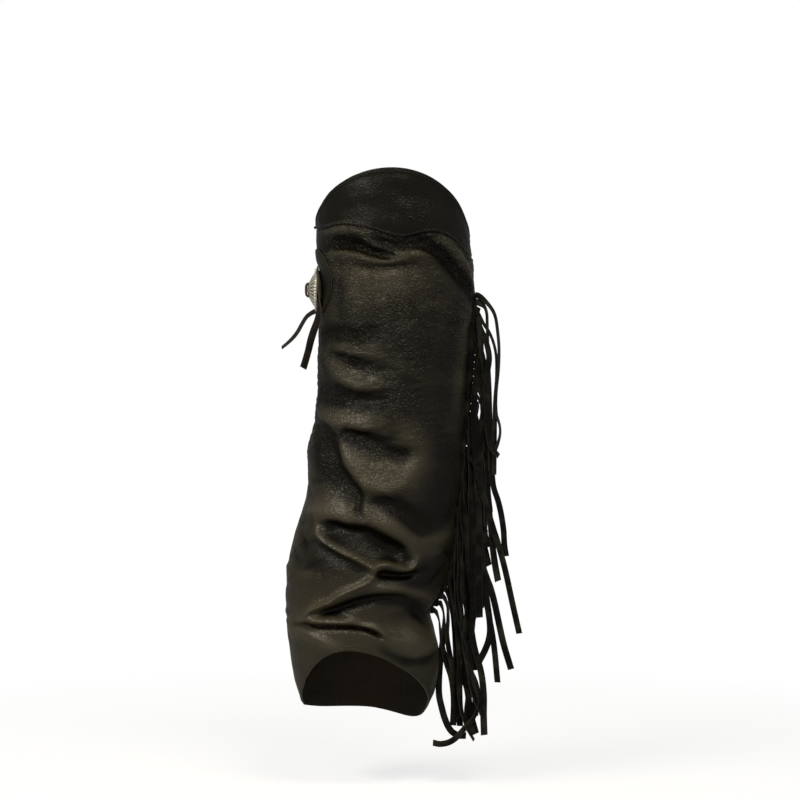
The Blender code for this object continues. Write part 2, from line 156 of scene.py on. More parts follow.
def addFloor():
    bpy.ops.mesh.primitive_plane_add(size=studio["floorSize"])
    floor = bpy.context.object
    floor.name = "studio_floor"
    floor.data.transform(Matrix.Translation((0, 0, studio["floorHeight"])))
    made = bpy.data.materials.new("paleFloor")
    tree = emptyNodes(made)
    coords = addNode(tree, "ShaderNodeTexCoord")
    away = addNode(tree, "ShaderNodeVectorMath", {0: coords.outputs["Object"]}, operation="LENGTH")
    fade = ranged(tree, away.outputs["Value"], *studio["shadowReach"], *studio["shadowFade"])
    glow = addNode(tree, "ShaderNodeEmission")
    paint = addNode(tree, "ShaderNodeBsdfDiffuse", {"Color": studio["floorColor"]})
    mix = addNode(tree, "ShaderNodeMixShader", {0: computed(tree, "MULTIPLY", fade, seenRays(tree)),
                                                1: paint.outputs[0], 2: glow.outputs[0]})
    addNode(tree, "ShaderNodeOutputMaterial", {"Surface": mix.outputs[0]})
    floor.data.materials.append(made)


addCamera()
for name, lamp in studio["lamps"].items():
    addSoftbox(name, *lamp)
addRoom()
addFloor()
scene.view_settings.view_transform = "Standard"
print("studio ready")


# Materials

def newFinish(name, color, roughness, specular=0.5, metallic=0.0):
    made = bpy.data.materials.new(name)
    made.use_nodes = True
    tree = made.node_tree
    shader = tree.nodes["Principled BSDF"]
    setInputs(tree, shader, {"Base Color": (*color, 1), "Roughness": roughness,
                             "Specular IOR Level": specular, "Metallic": metallic})
    return made, tree, shader


def placedBy(tree, source, scale=(1, 1, 1)):
    coords = addNode(tree, "ShaderNodeTexCoord")
    return addNode(tree, "ShaderNodeMapping", {"Scale": scale, "Vector": coords.outputs[source]}).outputs[0]


def noiseOf(tree, vector, scale, detail=3.0, roughness=0.5):
    return addNode(tree, "ShaderNodeTexNoise", {"Scale": scale, "Detail": detail, "Roughness": roughness,
                                                "Vector": vector}).outputs[0]


def blended(tree, factor, colorA, colorB):
    return addNode(tree, "ShaderNodeMix", {"A": (*colorA, 1), "B": (*colorB, 1), "Factor": factor},
                   data_type="RGBA").outputs["Result"]


def bumped(tree, height, distance, strength, before=None):
    inputs = {"Distance": distance, "Strength": strength, "Height": height}
    if before is not None:
        inputs["Normal"] = before
    return addNode(tree, "ShaderNodeBump", inputs).outputs[0]


def painted(tree, name):
    # a number that is stored on the mesh
    return addNode(tree, "ShaderNodeAttribute", attribute_name=name).outputs["Fac"]


hide = {
    "color": (0.0025, 0.0019, 0.0007),          # the black of the hide, reached in the painted shade of the troughs
    "rubbedAndLitColor": (0.0258, 0.0218, 0.0123),      # rubbed grey with painted highlight, on the folds' crests
    "colorRange": (-0.06, 1.85), "blotch": 1.3, "blotchScale": 28,
    "roughness": (0.45, 0.60),
    "specular": 0.01,
    "coat": (0.026, 0.068), "coatRoughness": 0.35, "coatIor": 2.4,   # the dressing, which follows the painted light and shade: most on the lit crests, least where shade is painted
    "lines": 0.8,           # painted shade: how much blacker the wrinkles' valleys are painted
    "slant": -18,           # degrees that the wrinkles fall towards the outer side
    "wrinkle": 0.0011, "wrinkleScale": (180, 430),      # depth of the fine wrinkles in metres
    "creases": 0.0010, "creaseScale": (190, 420),       # depth of the valleys between them
    "grain": 0.0003, "grainScale": 760,                 # depth of the pebbled grain in metres
    "drift": (0.006, 0.007, 0), "driftScale": 70,       # how far the wrinkles wander
    "valleyReach": 0.2, "creaseReach": 0.28,            # how far they reach from a valley's middle
    "patchScale": 18, "patchRange": (0.38, 0.62),       # patches that are less wrinkled
    "leastWrinkled": 0.35,
    "glossScale": 600,
}


def makeHide():
    made, tree, shader = newFinish("blackHide", hide["color"], 0.42, hide["specular"])
    flat = placedBy(tree, "UV")
    rubbedAndShaded = painted(tree, "rubbedAndShaded")
    drift = addNode(tree, "ShaderNodeTexNoise", {"Scale": hide["driftScale"], "Detail": 2, "Vector": flat})
    wander = addNode(tree, "ShaderNodeVectorMath", {0: drift.outputs["Color"], 1: hide["drift"], 2: flat},
                     operation="MULTIPLY_ADD").outputs[0]

    def stretched(across, upward):
        # the wrinkles run round the leg and fall a little
        return addNode(tree, "ShaderNodeMapping",
                       {"Rotation": (0, 0, math.radians(hide["slant"])),
                        "Scale": (1 / across, 1 / upward, 1), "Vector": wander},
                       vector_type="TEXTURE").outputs[0]

    wrinkles = noiseOf(tree, stretched(*hide["wrinkleScale"]), 1.0, 4, 0.6)
    plates = addNode(tree, "ShaderNodeTexVoronoi", feature="DISTANCE_TO_EDGE")
    setInputs(tree, plates, {"Scale": 1.0, "Vector": stretched(*hide["creaseScale"])})
    toEdge = plates.outputs["Distance"]
    patches = ranged(tree, noiseOf(tree, flat, hide["patchScale"], 2), *hide["patchRange"],
                     hide["leastWrinkled"], 1.0)
    where = computed(tree, "MULTIPLY", patches, painted(tree, "worked"))
    cells = addNode(tree, "ShaderNodeTexVoronoi", feature="SMOOTH_F1")
    setInputs(tree, cells, {"Scale": hide["grainScale"], "Smoothness": 0.6, "Vector": wander})

    # colour: random blotches, the painted highlight and shade stored on the mesh (partly rubbed wear), and
    # painted shade in the wrinkles' valleys
    blotches = noiseOf(tree, flat, hide["blotchScale"], 3)
    shade = computed(tree, "MULTIPLY_ADD", blotches, hide["blotch"], rubbedAndShaded)
    valley = computed(tree, "MULTIPLY", ranged(tree, toEdge, 0, hide["valleyReach"], 1, 0), where)
    lined = computed(tree, "MULTIPLY_ADD", valley, -hide["lines"], shade)
    first = bumped(tree, computed(tree, "MULTIPLY", wrinkles, where), hide["wrinkle"], 1.0)
    plateau = computed(tree, "MULTIPLY", ranged(tree, toEdge, 0, hide["creaseReach"], 0, 1), where)
    second = bumped(tree, plateau, hide["creases"], 1.0, first)
    grained = bumped(tree, cells.outputs["Distance"], hide["grain"], 0.8, second)
    setInputs(tree, shader, {
        "Base Color": blended(tree, ranged(tree, lined, *hide["colorRange"], 0, 1),
                              hide["color"], hide["rubbedAndLitColor"]),
        "Roughness": ranged(tree, noiseOf(tree, flat, hide["glossScale"], 2), 0.3, 0.7, *hide["roughness"]),
        # the coat's gloss follows the painted light and shade as well
        "Coat Weight": ranged(tree, rubbedAndShaded, -1.0, 1.1, *hide["coat"]),
        "Coat Roughness": hide["coatRoughness"], "Coat IOR": hide["coatIor"],
        "Normal": grained, "Coat Normal": grained})
    return made


def makeSuede(name="suedeSide", color=(0.012, 0.010, 0.0075)):
    made, tree, shader = newFinish(name, color, 0.92, 0.08)
    nap = noiseOf(tree, placedBy(tree, "Object"), 900, 4)
    lighter = tuple(1.8 * c for c in color)
    setInputs(tree, shader, {
        "Base Color": blended(tree, ranged(tree, nap, 0.35, 0.65, 0, 1), color, lighter),
        "Normal": bumped(tree, nap, 0.0003, 0.6)})
    return made


def makeCutEdge(name="cutEdge", color=(0.030, 0.026, 0.020)):
    made, tree, shader = newFinish(name, color, 0.7, 0.12)
    fibre = noiseOf(tree, placedBy(tree, "Object"), 1400, 3)
    setInputs(tree, shader, {"Normal": bumped(tree, fibre, 0.0002, 0.5)})
    return made


def makeStrapLeather(name, look):
    made, tree, shader = newFinish(name, look["dark"], look["roughness"], 0.05)
    spots = noiseOf(tree, placedBy(tree, "UV"), look["mottle"], 3)
    fibre = noiseOf(tree, placedBy(tree, "UV", look["nap"]), 1.0, look["napDetail"])
    setInputs(tree, shader, {
        "Base Color": blended(tree, ranged(tree, spots, *look["shades"], 0, 1), look["dark"], look["light"]),
        "Normal": bumped(tree, fibre, 0.00025, look["napStrength"])})
    return made


blackHide = makeHide()
suedeSide = makeSuede()
cutEdge = makeCutEdge()
print("leather ready")


# The leg's form

arcRadius = 76.0        # turns an angle round the leg into a length along the leather
hideThickness = 1.4

# Height, inner side, outer side, depth to the front, depth to the back
legSections = (
    (-430, -88, 28, 74, 80),
    (-415, -91, 35, 74, 79),
    (-400, -95, 41.5, 74, 78),
    (-380, -100, 45.5, 74, 75),
    (-360, -103, 45.5, 74, 73),
    (-340, -105.5, 41, 73, 71),
    (-320, -106.5, 37, 72, 69),
    (-302, -107, 46.5, 74, 69),
    (-282, -106.5, 54.5, 76, 69),
    (-260, -102.5, 57.5, 75, 70),
    (-233, -95, 61, 74, 71),
    (-207, -87, 65.5, 73, 73),
    (-188, -84.5, 66.5, 72, 75),
    (-172, -86, 67, 72, 77),
    (-152, -84, 69, 72, 79),
    (-128, -78.5, 71, 72, 80),
    (-100, -75.8, 73, 72, 81),
    (-55, -75, 75.5, 73, 80),
    (-28, -73, 78.5, 73, 78),
    (0, -71.5, 81.5, 73, 75),
    (34, -75.8, 79, 73, 72),
    (62, -77, 75.5, 73, 68),
    (90, -75.5, 74, 72, 65),
    (122, -73, 72, 70, 62),
)


def splineThrough(xs, ys):
    xs, ys = np.asarray(xs, float), np.asarray(ys, float)
    slopes = np.gradient(ys, xs)

    def value(x):
        x = np.clip(np.asarray(x, float), xs[0], xs[-1])
        i = np.clip(np.searchsorted(xs, x, side="right") - 1, 0, len(xs) - 2)
        span = xs[i + 1] - xs[i]
        t = (x - xs[i]) / span
        return ((2 * t**3 - 3 * t**2 + 1) * ys[i] + (t**3 - 2 * t**2 + t) * span * slopes[i]
                + (3 * t**2 - 2 * t**3) * ys[i + 1] + (t**3 - t**2) * span * slopes[i + 1])

    return value


def columnOf(rows, number):
    return [row[number] for row in rows]


innerSide, outerSide, frontDepth, backDepth = (
    splineThrough(columnOf(legSections, 0), columnOf(legSections, k)) for k in (1, 2, 3, 4)
)


def smoothStep(t):
    t = np.clip(t, 0.0, 1.0)
    return t * t * (3 - 2 * t)


closingTab = {
    "angle": -90.0, "height": 8.0, "halfHeight": 32.0, "back": -32.0, "roundFrom": 12.0,
    "thick": 1.3, "gap": 0.4, "edge": (0.4, 0.6),      # depth and reach of its rounded edge
    "rise": 1.3, "riseReach": 24,       # how far the lace pulls its middle out
    "flatPast": 3, "flatFade": 11,      # how far past the tab the leather below stays unfolded
}


def underTab(angle, z):
    turn = (angle - closingTab["angle"] + 180) % 360 - 180
    along = np.radians(turn) * arcRadius
    aside = np.maximum(np.abs(z - closingTab["height"]) - closingTab["halfHeight"], 0)
    tip = closingTab["roundFrom"] + closingTab["halfHeight"]
    past = np.maximum(np.maximum(along - tip, closingTab["back"] - along), 0)
    return 1 - smoothStep((np.hypot(aside, past) - closingTab["flatPast"]) / closingTab["flatFade"])


# Folds of the leather. Each has a height outwards (a trough is negative), its reach above and below
# its line, how far it droops, how sharp it is (2 soft, 1 sharp) and points: angle, height, and
# strength where it isn't whole
frontFolds = (
    (1.6, 4, 4, 0, 2, ((-58, 55, 0.3), (-44, 56, 0.9), (-30, 56), (-19, 52, 0.6))),
    (-3.4, 4.5, 5, 0, 2, ((-18, 47, 0.3), (-10, 44, 0.9), (-2, 40), (7, 39, 0.9), (16, 41, 0.3))),
    (-4.8, 6.5, 7, 0, 2, ((12, 45, 0.3), (23, 42, 0.9), (32, 34), (42, 24), (53, 12), (68, 2, 0.7),
     (77, -7, 0.2))),
    (3, 3.6, 4.4, 1, 1.6, ((-21, 45, 0.4), (-14, 41, 0.9), (-5, 37), (5, 34), (15, 33), (26, 32, 0.9),
     (35, 26, 0.8), (44, 15, 0.5), (50, 5, 0.1))),
    (-5.2, 6, 4.2, 0, 2, ((-63, 39, 0.3), (-52, 41, 0.9), (-39, 41), (-29, 39), (-20, 35), (-11, 31),
     (-2, 29, 0.7), (3, 28, 0.2))),
    (3.6, 4.4, 5, 1.2, 1.6, ((-61, 34, 0.3), (-47, 36, 0.9), (-35, 34), (-25, 31), (-14, 27), (-4, 26, 0.9),
     (6, 27, 0.5), (13, 27, 0.1))),
    (-2, 3.4, 3.6, 0, 2, ((-32, 23, 0.3), (-23, 21, 0.9), (-11, 19), (1, 20), (12, 22, 0.6), (19, 23, 0.1))),
    (2.6, 8, 14, 0, 2, ((-47, 13, 0.3), (-31, 12, 0.9), (-16, 9), (-2, 10), (8, 14, 0.3))),
    (2.4, 5, 5, 0, 2, ((27, 47, 0.3), (40, 43, 0.8), (49, 35), (59, 24), (68, 12, 0.8), (75, 0, 0.3))),
    (-0.8, 6, 6, 0, 2, ((-44, 29, 0.5), (-43, 17, 0.9), (-47, 3, 0.8), (-47, -15, 0.9), (-43, -30, 0.5))),
    (-2.8, 6, 6, 0, 2, ((-62, -45, 0.6), (-46, -45), (-29, -47, 0.9), (-14, -49, 0.3))),
    (2, 9, 3.5, 0.4, 1.8, ((-52, -59, 0.4), (-40, -62, 0.9), (-24, -65), (-10, -67, 0.5), (-4, -68, 0.1))),
    (-2.4, 5, 4.5, 0, 2, ((-52, -63, 0.5), (-42, -68, 0.9), (-30, -73), (-18, -79, 0.7), (-8, -81, 0.2))),
    (3, 11, 5, 0.8, 1.8, ((-52, -74, 0.4), (-46, -82, 0.8), (-35, -91), (-22, -97), (-10, -97, 0.5),
     (-4, -96, 0.1))),
    (-3.4, 7.5, 8, 0, 2, ((-65, -104, 0.6), (-41, -106), (-23, -109, 0.9), (-9, -110, 0.4))),
    (3, 9, 4, 0.8, 1.8, ((-66, -125, 0.4), (-47, -131, 0.9), (-31, -135), (-16, -136, 0.9),
     (-7, -133, 0.3))),
    (-3.8, 5, 9, 0, 2, ((-36, -137, 0.3), (-31, -140, 0.9), (-18, -146), (-6, -153), (5, -159),
     (15, -162, 0.8), (22, -160, 0.3))),
    (2.8, 6.5, 6, 0.4, 1.9, ((-40, -145, 0.3), (-33, -155, 0.9), (-28, -165), (-22, -177), (-17, -187),
     (-14, -191, 0.7), (-12, -199, 0.2))),
    (3.8, 16, 4.5, 0.8, 1.8, ((-17, -186, 0.3), (-12, -192, 0.8), (-8, -195, 0.9), (-1, -197), (6, -196),
     (13, -192), (19, -183, 0.9), (24, -172, 0.7), (25, -162, 0.4), (21, -150, 0.2))),
    (-3.8, 9, 11, 0, 2, ((-76, -132, 0.3), (-55, -143, 0.8), (-45, -157), (-37, -173), (-30, -187),
     (-22, -199, 0.9), (-16, -211, 0.4))),
    (3.4, 14, 4.6, 1.2, 1.8, ((-59, -217, 0.3), (-44, -221, 0.9), (-31, -223), (-21, -226),
     (-15, -226, 0.7), (-13, -223, 0.2))),
    (-1.8, 7, 7, 0, 2, ((-19, -195, 0.3), (-17, -206, 0.8), (-15, -216), (-12, -224, 0.8),
     (-10, -229, 0.3))),
    (2, 4.6, 4.6, 0, 1.9, ((-13, -198, 0.3), (-12, -207), (-11, -215), (-7, -223, 0.4))),
    (3.2, 12, 4.6, 1.2, 1.8, ((-5, -226, 0.5), (2, -229, 0.9), (11, -236), (19, -243), (24, -248, 0.9),
     (32, -255, 0.5), (35, -259, 0.1))),
    (-3.2, 8, 7, 0, 2, ((-8, -205, 0.5), (2, -209, 0.9), (13, -216), (25, -226), (36, -237, 0.7),
     (42, -244, 0.3))),
    (2.4, 6, 9, 0, 1.8, ((33, -246, 0.4), (43, -248, 0.9), (54, -246), (65, -243, 0.7))),
    (-5.6, 6.5, 10, 0, 2, ((-40, -233, 0.3), (-32, -234, 0.9), (-22, -237), (-9, -241), (3, -246),
     (13, -252), (21, -257, 0.9), (26, -260, 0.4))),
    (4.4, 2.6, 3, 1.2, 1.5, ((-47, -233, 0.4), (-44, -239, 0.8), (-38, -244), (-28, -251), (-18, -257),
     (-9, -262), (-2, -267), (3, -271), (5, -276), (4, -282), (-1, -288, 0.9), (-8, -293, 0.8),
     (-16, -299, 0.8), (-23, -306, 0.8), (-31, -311, 0.9), (-38, -315, 0.9), (-40, -320, 0.8),
     (-35, -323, 0.6), (-27, -324, 0.2))),
    (-1.8, 2.4, 5, 0, 2, ((-42, -247, 0.3), (-29, -256), (-19, -262), (-10, -268), (-2, -274, 0.8),
     (0, -279, 0.2))),
    (3.6, 3.4, 3, 0.6, 1.5, ((5, -271, 0.4), (9, -269, 0.9), (15, -269), (23, -273), (29, -274), (33, -270),
     (34, -264, 0.8), (31, -259, 0.4))),
    (-4.6, 2.8, 3.4, 0, 2, ((7, -278, 0.6), (13, -279), (20, -280), (30, -280), (39, -279, 0.6),
     (47, -277, 0.2))),
    (2.8, 3, 4, 0.5, 1.6, ((5, -285, 0.3), (8, -290, 0.9), (15, -292), (27, -294), (42, -299, 0.8),
     (62, -304, 0.3))),
    (-4.4, 3.2, 5.5, 0, 2, ((-33, -315, 0.3), (-25, -314, 0.9), (-13, -310), (-2, -305), (9, -302, 0.9),
     (21, -301, 0.6), (32, -303, 0.2))),
    (2.2, 3, 2.2, 0.6, 1.6, ((-52, -325, 0.3), (-35, -325, 0.8), (-21, -325), (-6, -325), (6, -328),
     (14, -331), (19, -337, 0.8), (20, -343, 0.2))),
    (-2.8, 1.8, 2.4, 0, 2, ((-61, -331, 0.4), (-47, -330, 0.8), (-33, -330), (-19, -330), (-6, -330),
     (6, -332), (13, -336, 0.9), (19, -341, 0.3))),
    (2.4, 4, 4.5, 0.4, 1.8, ((-60, -335, 0.4), (-49, -336, 0.9), (-36, -341), (-27, -346, 0.9),
     (-20, -351, 0.3))),
    (-2, 6, 6, 0, 2, ((25, -301, 0.3), (38, -307, 0.8), (58, -321), (59, -336, 0.7), (54, -345, 0.3))),
    (2.4, 8, 8, 0, 2, ((31, -343, 0.3), (43, -341), (58, -339, 0.7))),
    (4, 14, 10, 1, 2, ((32, -350, 0.4), (42, -350), (50, -350), (63, -346, 0.9), (78, -341, 0.3))),
    (-2.2, 4, 4, 0, 2, ((17, -354, 0.4), (25, -360, 0.8), (34, -364), (42, -365), (62, -364, 0.8),
     (76, -361, 0.2))),
    (1.3, 9, 9, 0, 2, ((66, -14, 0.3), (65, -60), (62, -100, 0.9), (60, -134, 0.2))),
    (-1.3, 3, 3, 0, 2, ((-66, -240, 0.2), (-58, -250, 0.9), (-50, -258, 0.3))),
    (-1.2, 3, 3, 0, 2, ((-72, -256, 0.2), (-64, -264, 0.9), (-54, -270, 0.2))),
)
backFolds = (
    (-3.6, 7, 7, 0, 2, ((102, 16, 0.2), (122, 10, 0.8), (150, 2), (196, 6), (226, 14, 0.7), (240, 18, 0.1))),
    (2.6, 7, 7, 1, 1.8, ((112, -10, 0.2), (130, -15, 0.8), (165, -20), (200, -17, 0.8), (222, -12, 0.1))),
    (-2.4, 6, 6, 0, 2, ((136, -36, 0.2), (160, -40), (188, -36, 0.7), (205, -33, 0.1))),
    (-3, 9, 9, 0, 2, ((104, -142, 0.2), (122, -152, 0.8), (160, -172), (205, -168), (240, -150, 0.3))),
    (2.6, 8, 6, 0.8, 1.8, ((110, -176, 0.2), (140, -188, 0.9), (176, -194), (214, -184, 0.7),
     (238, -176, 0.1))),
    (-4.4, 6, 7, 0, 2, ((98, -228, 0.2), (118, -238, 0.8), (150, -252), (200, -246), (238, -226, 0.6),
     (252, -220, 0.1))),
    (4, 6, 6, 1.2, 1.6, ((100, -252, 0.2), (122, -264, 0.9), (156, -274), (206, -268), (246, -252, 0.5),
     (258, -248, 0.1))),
    (-2.4, 4, 5, 0, 2, ((128, -284, 0.2), (150, -290), (176, -288, 0.8), (196, -284, 0.1))),
    (-4.6, 6, 6, 0, 2, ((98, -308, 0.2), (120, -304, 0.8), (150, -300), (200, -304), (236, -311, 0.7),
     (254, -315, 0.1))),
    (3.2, 6, 6, 0.8, 1.8, ((112, -334, 0.2), (132, -333, 0.9), (170, -330), (214, -336, 0.8),
     (240, -342, 0.1))),
    (-2, 5, 5, 0, 2, ((150, -358, 0.2), (176, -362), (206, -356, 0.7), (222, -352, 0.1))),
    (2.2, 8, 6, 0.5, 2, ((118, -214, 0.1), (142, -222), (168, -220, 0.6), (186, -214, 0))),
)


def smallFolds(seed, count, angles, heights):
    # short shallow creases between the large ones, mostly level
    draw = np.random.default_rng(seed)
    made = []
    for number in range(count):
        angle, z = draw.uniform(*angles), draw.uniform(*heights)
        half, slope = draw.uniform(6, 16), draw.normal(0, 0.35)
        bend = draw.normal(0, 2.0)
        deep = draw.uniform(0.35, 0.9) * (1 if number % 2 else -1)
        reach = draw.uniform(1.8, 3.6)
        made.append((deep, reach, reach, 0.0, 2.0,
                     ((angle - half, z - slope * half, 0.1), (angle, z + bend, 1),
                      (angle + half, z + slope * half, 0.1))))
    return tuple(made)


foldDepth, foldReach = 1.65, 1.25     # deepen and widen every fold alike
allFolds = (frontFolds + backFolds + smallFolds(5, 90, (-85, 82), (-345, 36))
            + smallFolds(9, 70, (98, 252), (-400, 30)))


def smoothLine(points, parts=7):
    # a Catmull-Rom line through rows of numbers
    rows = np.array(points, float)
    ends = np.vstack([2 * rows[0] - rows[1], rows, 2 * rows[-1] - rows[-2]])
    t = np.linspace(0, 1, parts, endpoint=False)[:, None]
    pieces = []
    for a, b, c, d in zip(ends, ends[1:], ends[2:], ends[3:]):
        pieces.append(0.5 * (2 * b + (c - a) * t + (2 * a - 5 * b + 4 * c - d) * t**2
                             + (3 * b - a - 3 * c + d) * t**3))
    return np.vstack(pieces + [rows[-1:]])


def foldField(angle, z):
    # how far the folds move each place outwards, and down
    out, down = np.zeros_like(z), np.zeros_like(z)
    around = 2 * math.pi * arcRadius
    for height, above, below, droop, sharp, points in allFolds:
        line = smoothLine([(*point, 1)[:3] for point in points])
        line[:, 0] = np.radians(line[:, 0]) * arcRadius
        middle = line[:, 0].mean()
        along = np.radians(angle) * arcRadius
        along = middle + (along - middle + around / 2) % around - around / 2
        above, below = foldReach * above, foldReach * below
        room = 3.2 * max(above, below)
        near = ((along > line[:, 0].min() - room) & (along < line[:, 0].max() + room)
                & (z > line[:, 1].min() - room) & (z < line[:, 1].max() + room))
        if not near.any():
            continue
        here = np.stack([along[near], z[near]], -1)[:, None, :]
        starts, steps = line[:-1, :2], np.diff(line[:, :2], axis=0)
        share = np.clip(((here - starts) * steps).sum(2) / (steps**2).sum(1), 0, 1)
        away = here - starts - steps * share[..., None]
        distance = np.hypot(away[..., 0], away[..., 1])
        best = distance.argmin(1)
        pick = np.arange(len(best))
        strength = line[best, 2] + (line[best + 1, 2] - line[best, 2]) * share[pick, best]
        distance = distance[pick, best]
        upward = away[pick, best, 1] / np.maximum(distance, 1e-6)
        reach = (above + below) / 2 + (above - below) / 2 * upward
        shape = strength * np.exp(-(distance / reach) ** sharp)
        out[near] += foldDepth * height * shape
        down[near] += droop * shape
    return out, down


ripples = {
    "seed": 3,
    "waves": 16, "waveLength": (10, 38), "waveHeight": 0.0035,      # heights as shares of the length
    "wrinkles": 14, "wrinkleLength": (5, 8.5), "wrinkleHeight": 0.022, "patchLength": (34, 70),
    "from": -215, "fadeIn": 90, "to": 44, "fadeOut": 12,            # where there are wrinkles
}
draw = np.random.default_rng(ripples["seed"])
rippleWaves = [(draw.uniform(*ripples["waveLength"]), draw.normal(math.pi / 2, 0.5), draw.uniform(0, 6.28))
               for number in range(ripples["waves"])]
wrinkleWaves = [(draw.uniform(*ripples["wrinkleLength"]), draw.normal(math.pi / 2, 0.22),
                 draw.uniform(0, 6.28), draw.uniform(*ripples["patchLength"]), draw.uniform(0, 3.14),
                 draw.uniform(0, 6.28))
                for number in range(ripples["wrinkles"])]


def wave(along, z, length, heading, phase):
    return np.sin((along * math.cos(heading) + z * math.sin(heading)) * 2 * math.pi / length + phase)


def ripple(angle, z):
    # slow waves all over, and short level wrinkles in patches
    along = np.radians(angle) * arcRadius
    total = sum(ripples["waveHeight"] * row[0] * wave(along, z, *row) for row in rippleWaves)
    where = (smoothStep((z - ripples["from"]) / ripples["fadeIn"])
             * (1 - smoothStep((z - ripples["to"]) / ripples["fadeOut"])))
    for row in wrinkleWaves:
        patch = np.clip(wave(along, z, *row[3:]) - 0.2, 0, 1)
        total = total + ripples["wrinkleHeight"] * row[0] * patch * wave(along, z, *row[:3]) * where
    return total


seat = {"depth": 2.2, "height": 19, "reach": 7, "across": 18}


def seatPress(angle, z):
    # the concho's rim bears on the leather above and below
    turn = (angle - closingTab["angle"] + 180) % 360 - 180
    across = np.exp(-(np.radians(turn) * arcRadius / seat["across"]) ** 2)
    pressed = sum(np.exp(-((z - side * seat["height"]) / seat["reach"]) ** 2) for side in (1, -1))
    return -seat["depth"] * across * pressed


def legPoint(angle, z, out=0.0):
    # places on the outside of the leather, or out from it, in metres
    angle, z = np.broadcast_arrays(np.asarray(angle, float), np.asarray(z, float))
    lift, drop = foldField(angle, z)
    loose = 1 - underTab(angle, z)
    away = out + seatPress(angle, z) + (lift + ripple(angle, z)) * loose
    level = z - drop * loose
    turn = np.radians(angle)
    left, right = innerSide(z), outerSide(z)
    depth = np.where(np.cos(turn) > 0, frontDepth(z), backDepth(z))
    x = (left + right) / 2 + ((right - left) / 2 + away) * np.sin(turn)
    return np.stack([x, -(depth + away) * np.cos(turn), level], -1) * mm


# Meshes from rows of points

def meshFrom(name, points, faces, finishes, kinds, flat):
    # kinds picks a finish for each face, flat is the place of each point on the flat leather
    data = bpy.data.meshes.new(name)
    data.from_pydata(points, [], faces)
    for finish in finishes:
        data.materials.append(finish)
    data.polygons.foreach_set("material_index", kinds)
    layer = data.uv_layers.new(name="flat")
    corners = np.empty(len(data.loops), np.int32)
    data.loops.foreach_get("vertex_index", corners)
    layer.data.foreach_set("uv", np.asarray(flat, np.float32)[corners].ravel())
    data.shade_smooth()
    data.set_sharp_from_angle(angle=math.radians(62))
    return addObject(name, data)


def gridFaces(rows, columns, ring):
    i, j = np.meshgrid(np.arange(rows - 1), np.arange(columns if ring else columns - 1), indexing="ij")
    k = (j + 1) % columns
    return np.stack([i * columns + j, i * columns + k, (i + 1) * columns + k, (i + 1) * columns + j],
                    -1).reshape(-1, 4)


def shellBetween(name, outer, inner, flat, finishes, ring=False):
    # a wall between two grids, with its rims closed
    rows, columns = outer.shape[:2]
    count = rows * columns
    front = gridFaces(rows, columns, ring)
    j = np.arange(columns if ring else columns - 1)
    k = (j + 1) % columns
    low = np.stack([k, j, j + count, k + count], -1)
    top = np.stack([j, k, k + count, j + count], -1)
    top += (rows - 1) * columns
    rims = [low, top]
    if not ring:
        i = np.arange(rows - 1) * columns
        rims.append(np.stack([i, i + columns, i + columns + count, i + count], -1))
        i = i + columns - 1
        rims.append(np.stack([i + columns, i, i + count, i + columns + count], -1))
    rim = np.vstack(rims)
    faces = np.vstack([front, front[:, ::-1] + count, rim])
    kinds = np.repeat([0, 1, 2], [len(front), len(front), len(rim)])
    points = np.vstack([outer.reshape(-1, 3), inner.reshape(-1, 3)])
    flat = np.asarray(flat).reshape(-1, 2)
    return meshFrom(name, points, faces.tolist(), finishes, kinds.astype(np.int32),
                    np.vstack([flat, flat]))


def wayPoints(rows, step=2.0):
    # a smooth line through rows of numbers, its first three a place, at even steps
    line = smoothLine(rows, 24)
    gone = np.concatenate([[0], np.cumsum(np.linalg.norm(np.diff(line[:, :3], axis=0), axis=1))])
    even = np.linspace(0, gone[-1], max(int(gone[-1] / step) + 1, 3))
    return np.stack([np.interp(even, gone, line[:, k]) for k in range(line.shape[1])], -1)


def strapFrames(points, facing):
    # each point's way along, way across and way out of the face; facing in degrees round the vertical
    along = np.gradient(points, axis=0)
    along /= np.linalg.norm(along, axis=1)[:, None]
    turn = np.radians(facing)
    face = np.stack([np.sin(turn), -np.cos(turn), np.zeros_like(turn)], -1)
    across = np.cross(along, face)
    across /= np.linalg.norm(across, axis=1)[:, None]
    return along, across, np.cross(across, along)


def strapOn(line, width, thick, **more):
    # a strap along a line whose rows are x, y, z and the way that its face looks
    along, across, face = strapFrames(line[:, :3], line[:, 3])
    return {"points": line[:, :3], "along": along, "across": across, "face": face,
            "width": width, "thick": thick, **more}


stripKinds = (2, 0, 2, 2, 2, 1, 2, 2)       # finishes round a strap: 0 its face, 1 its back, 2 its edges


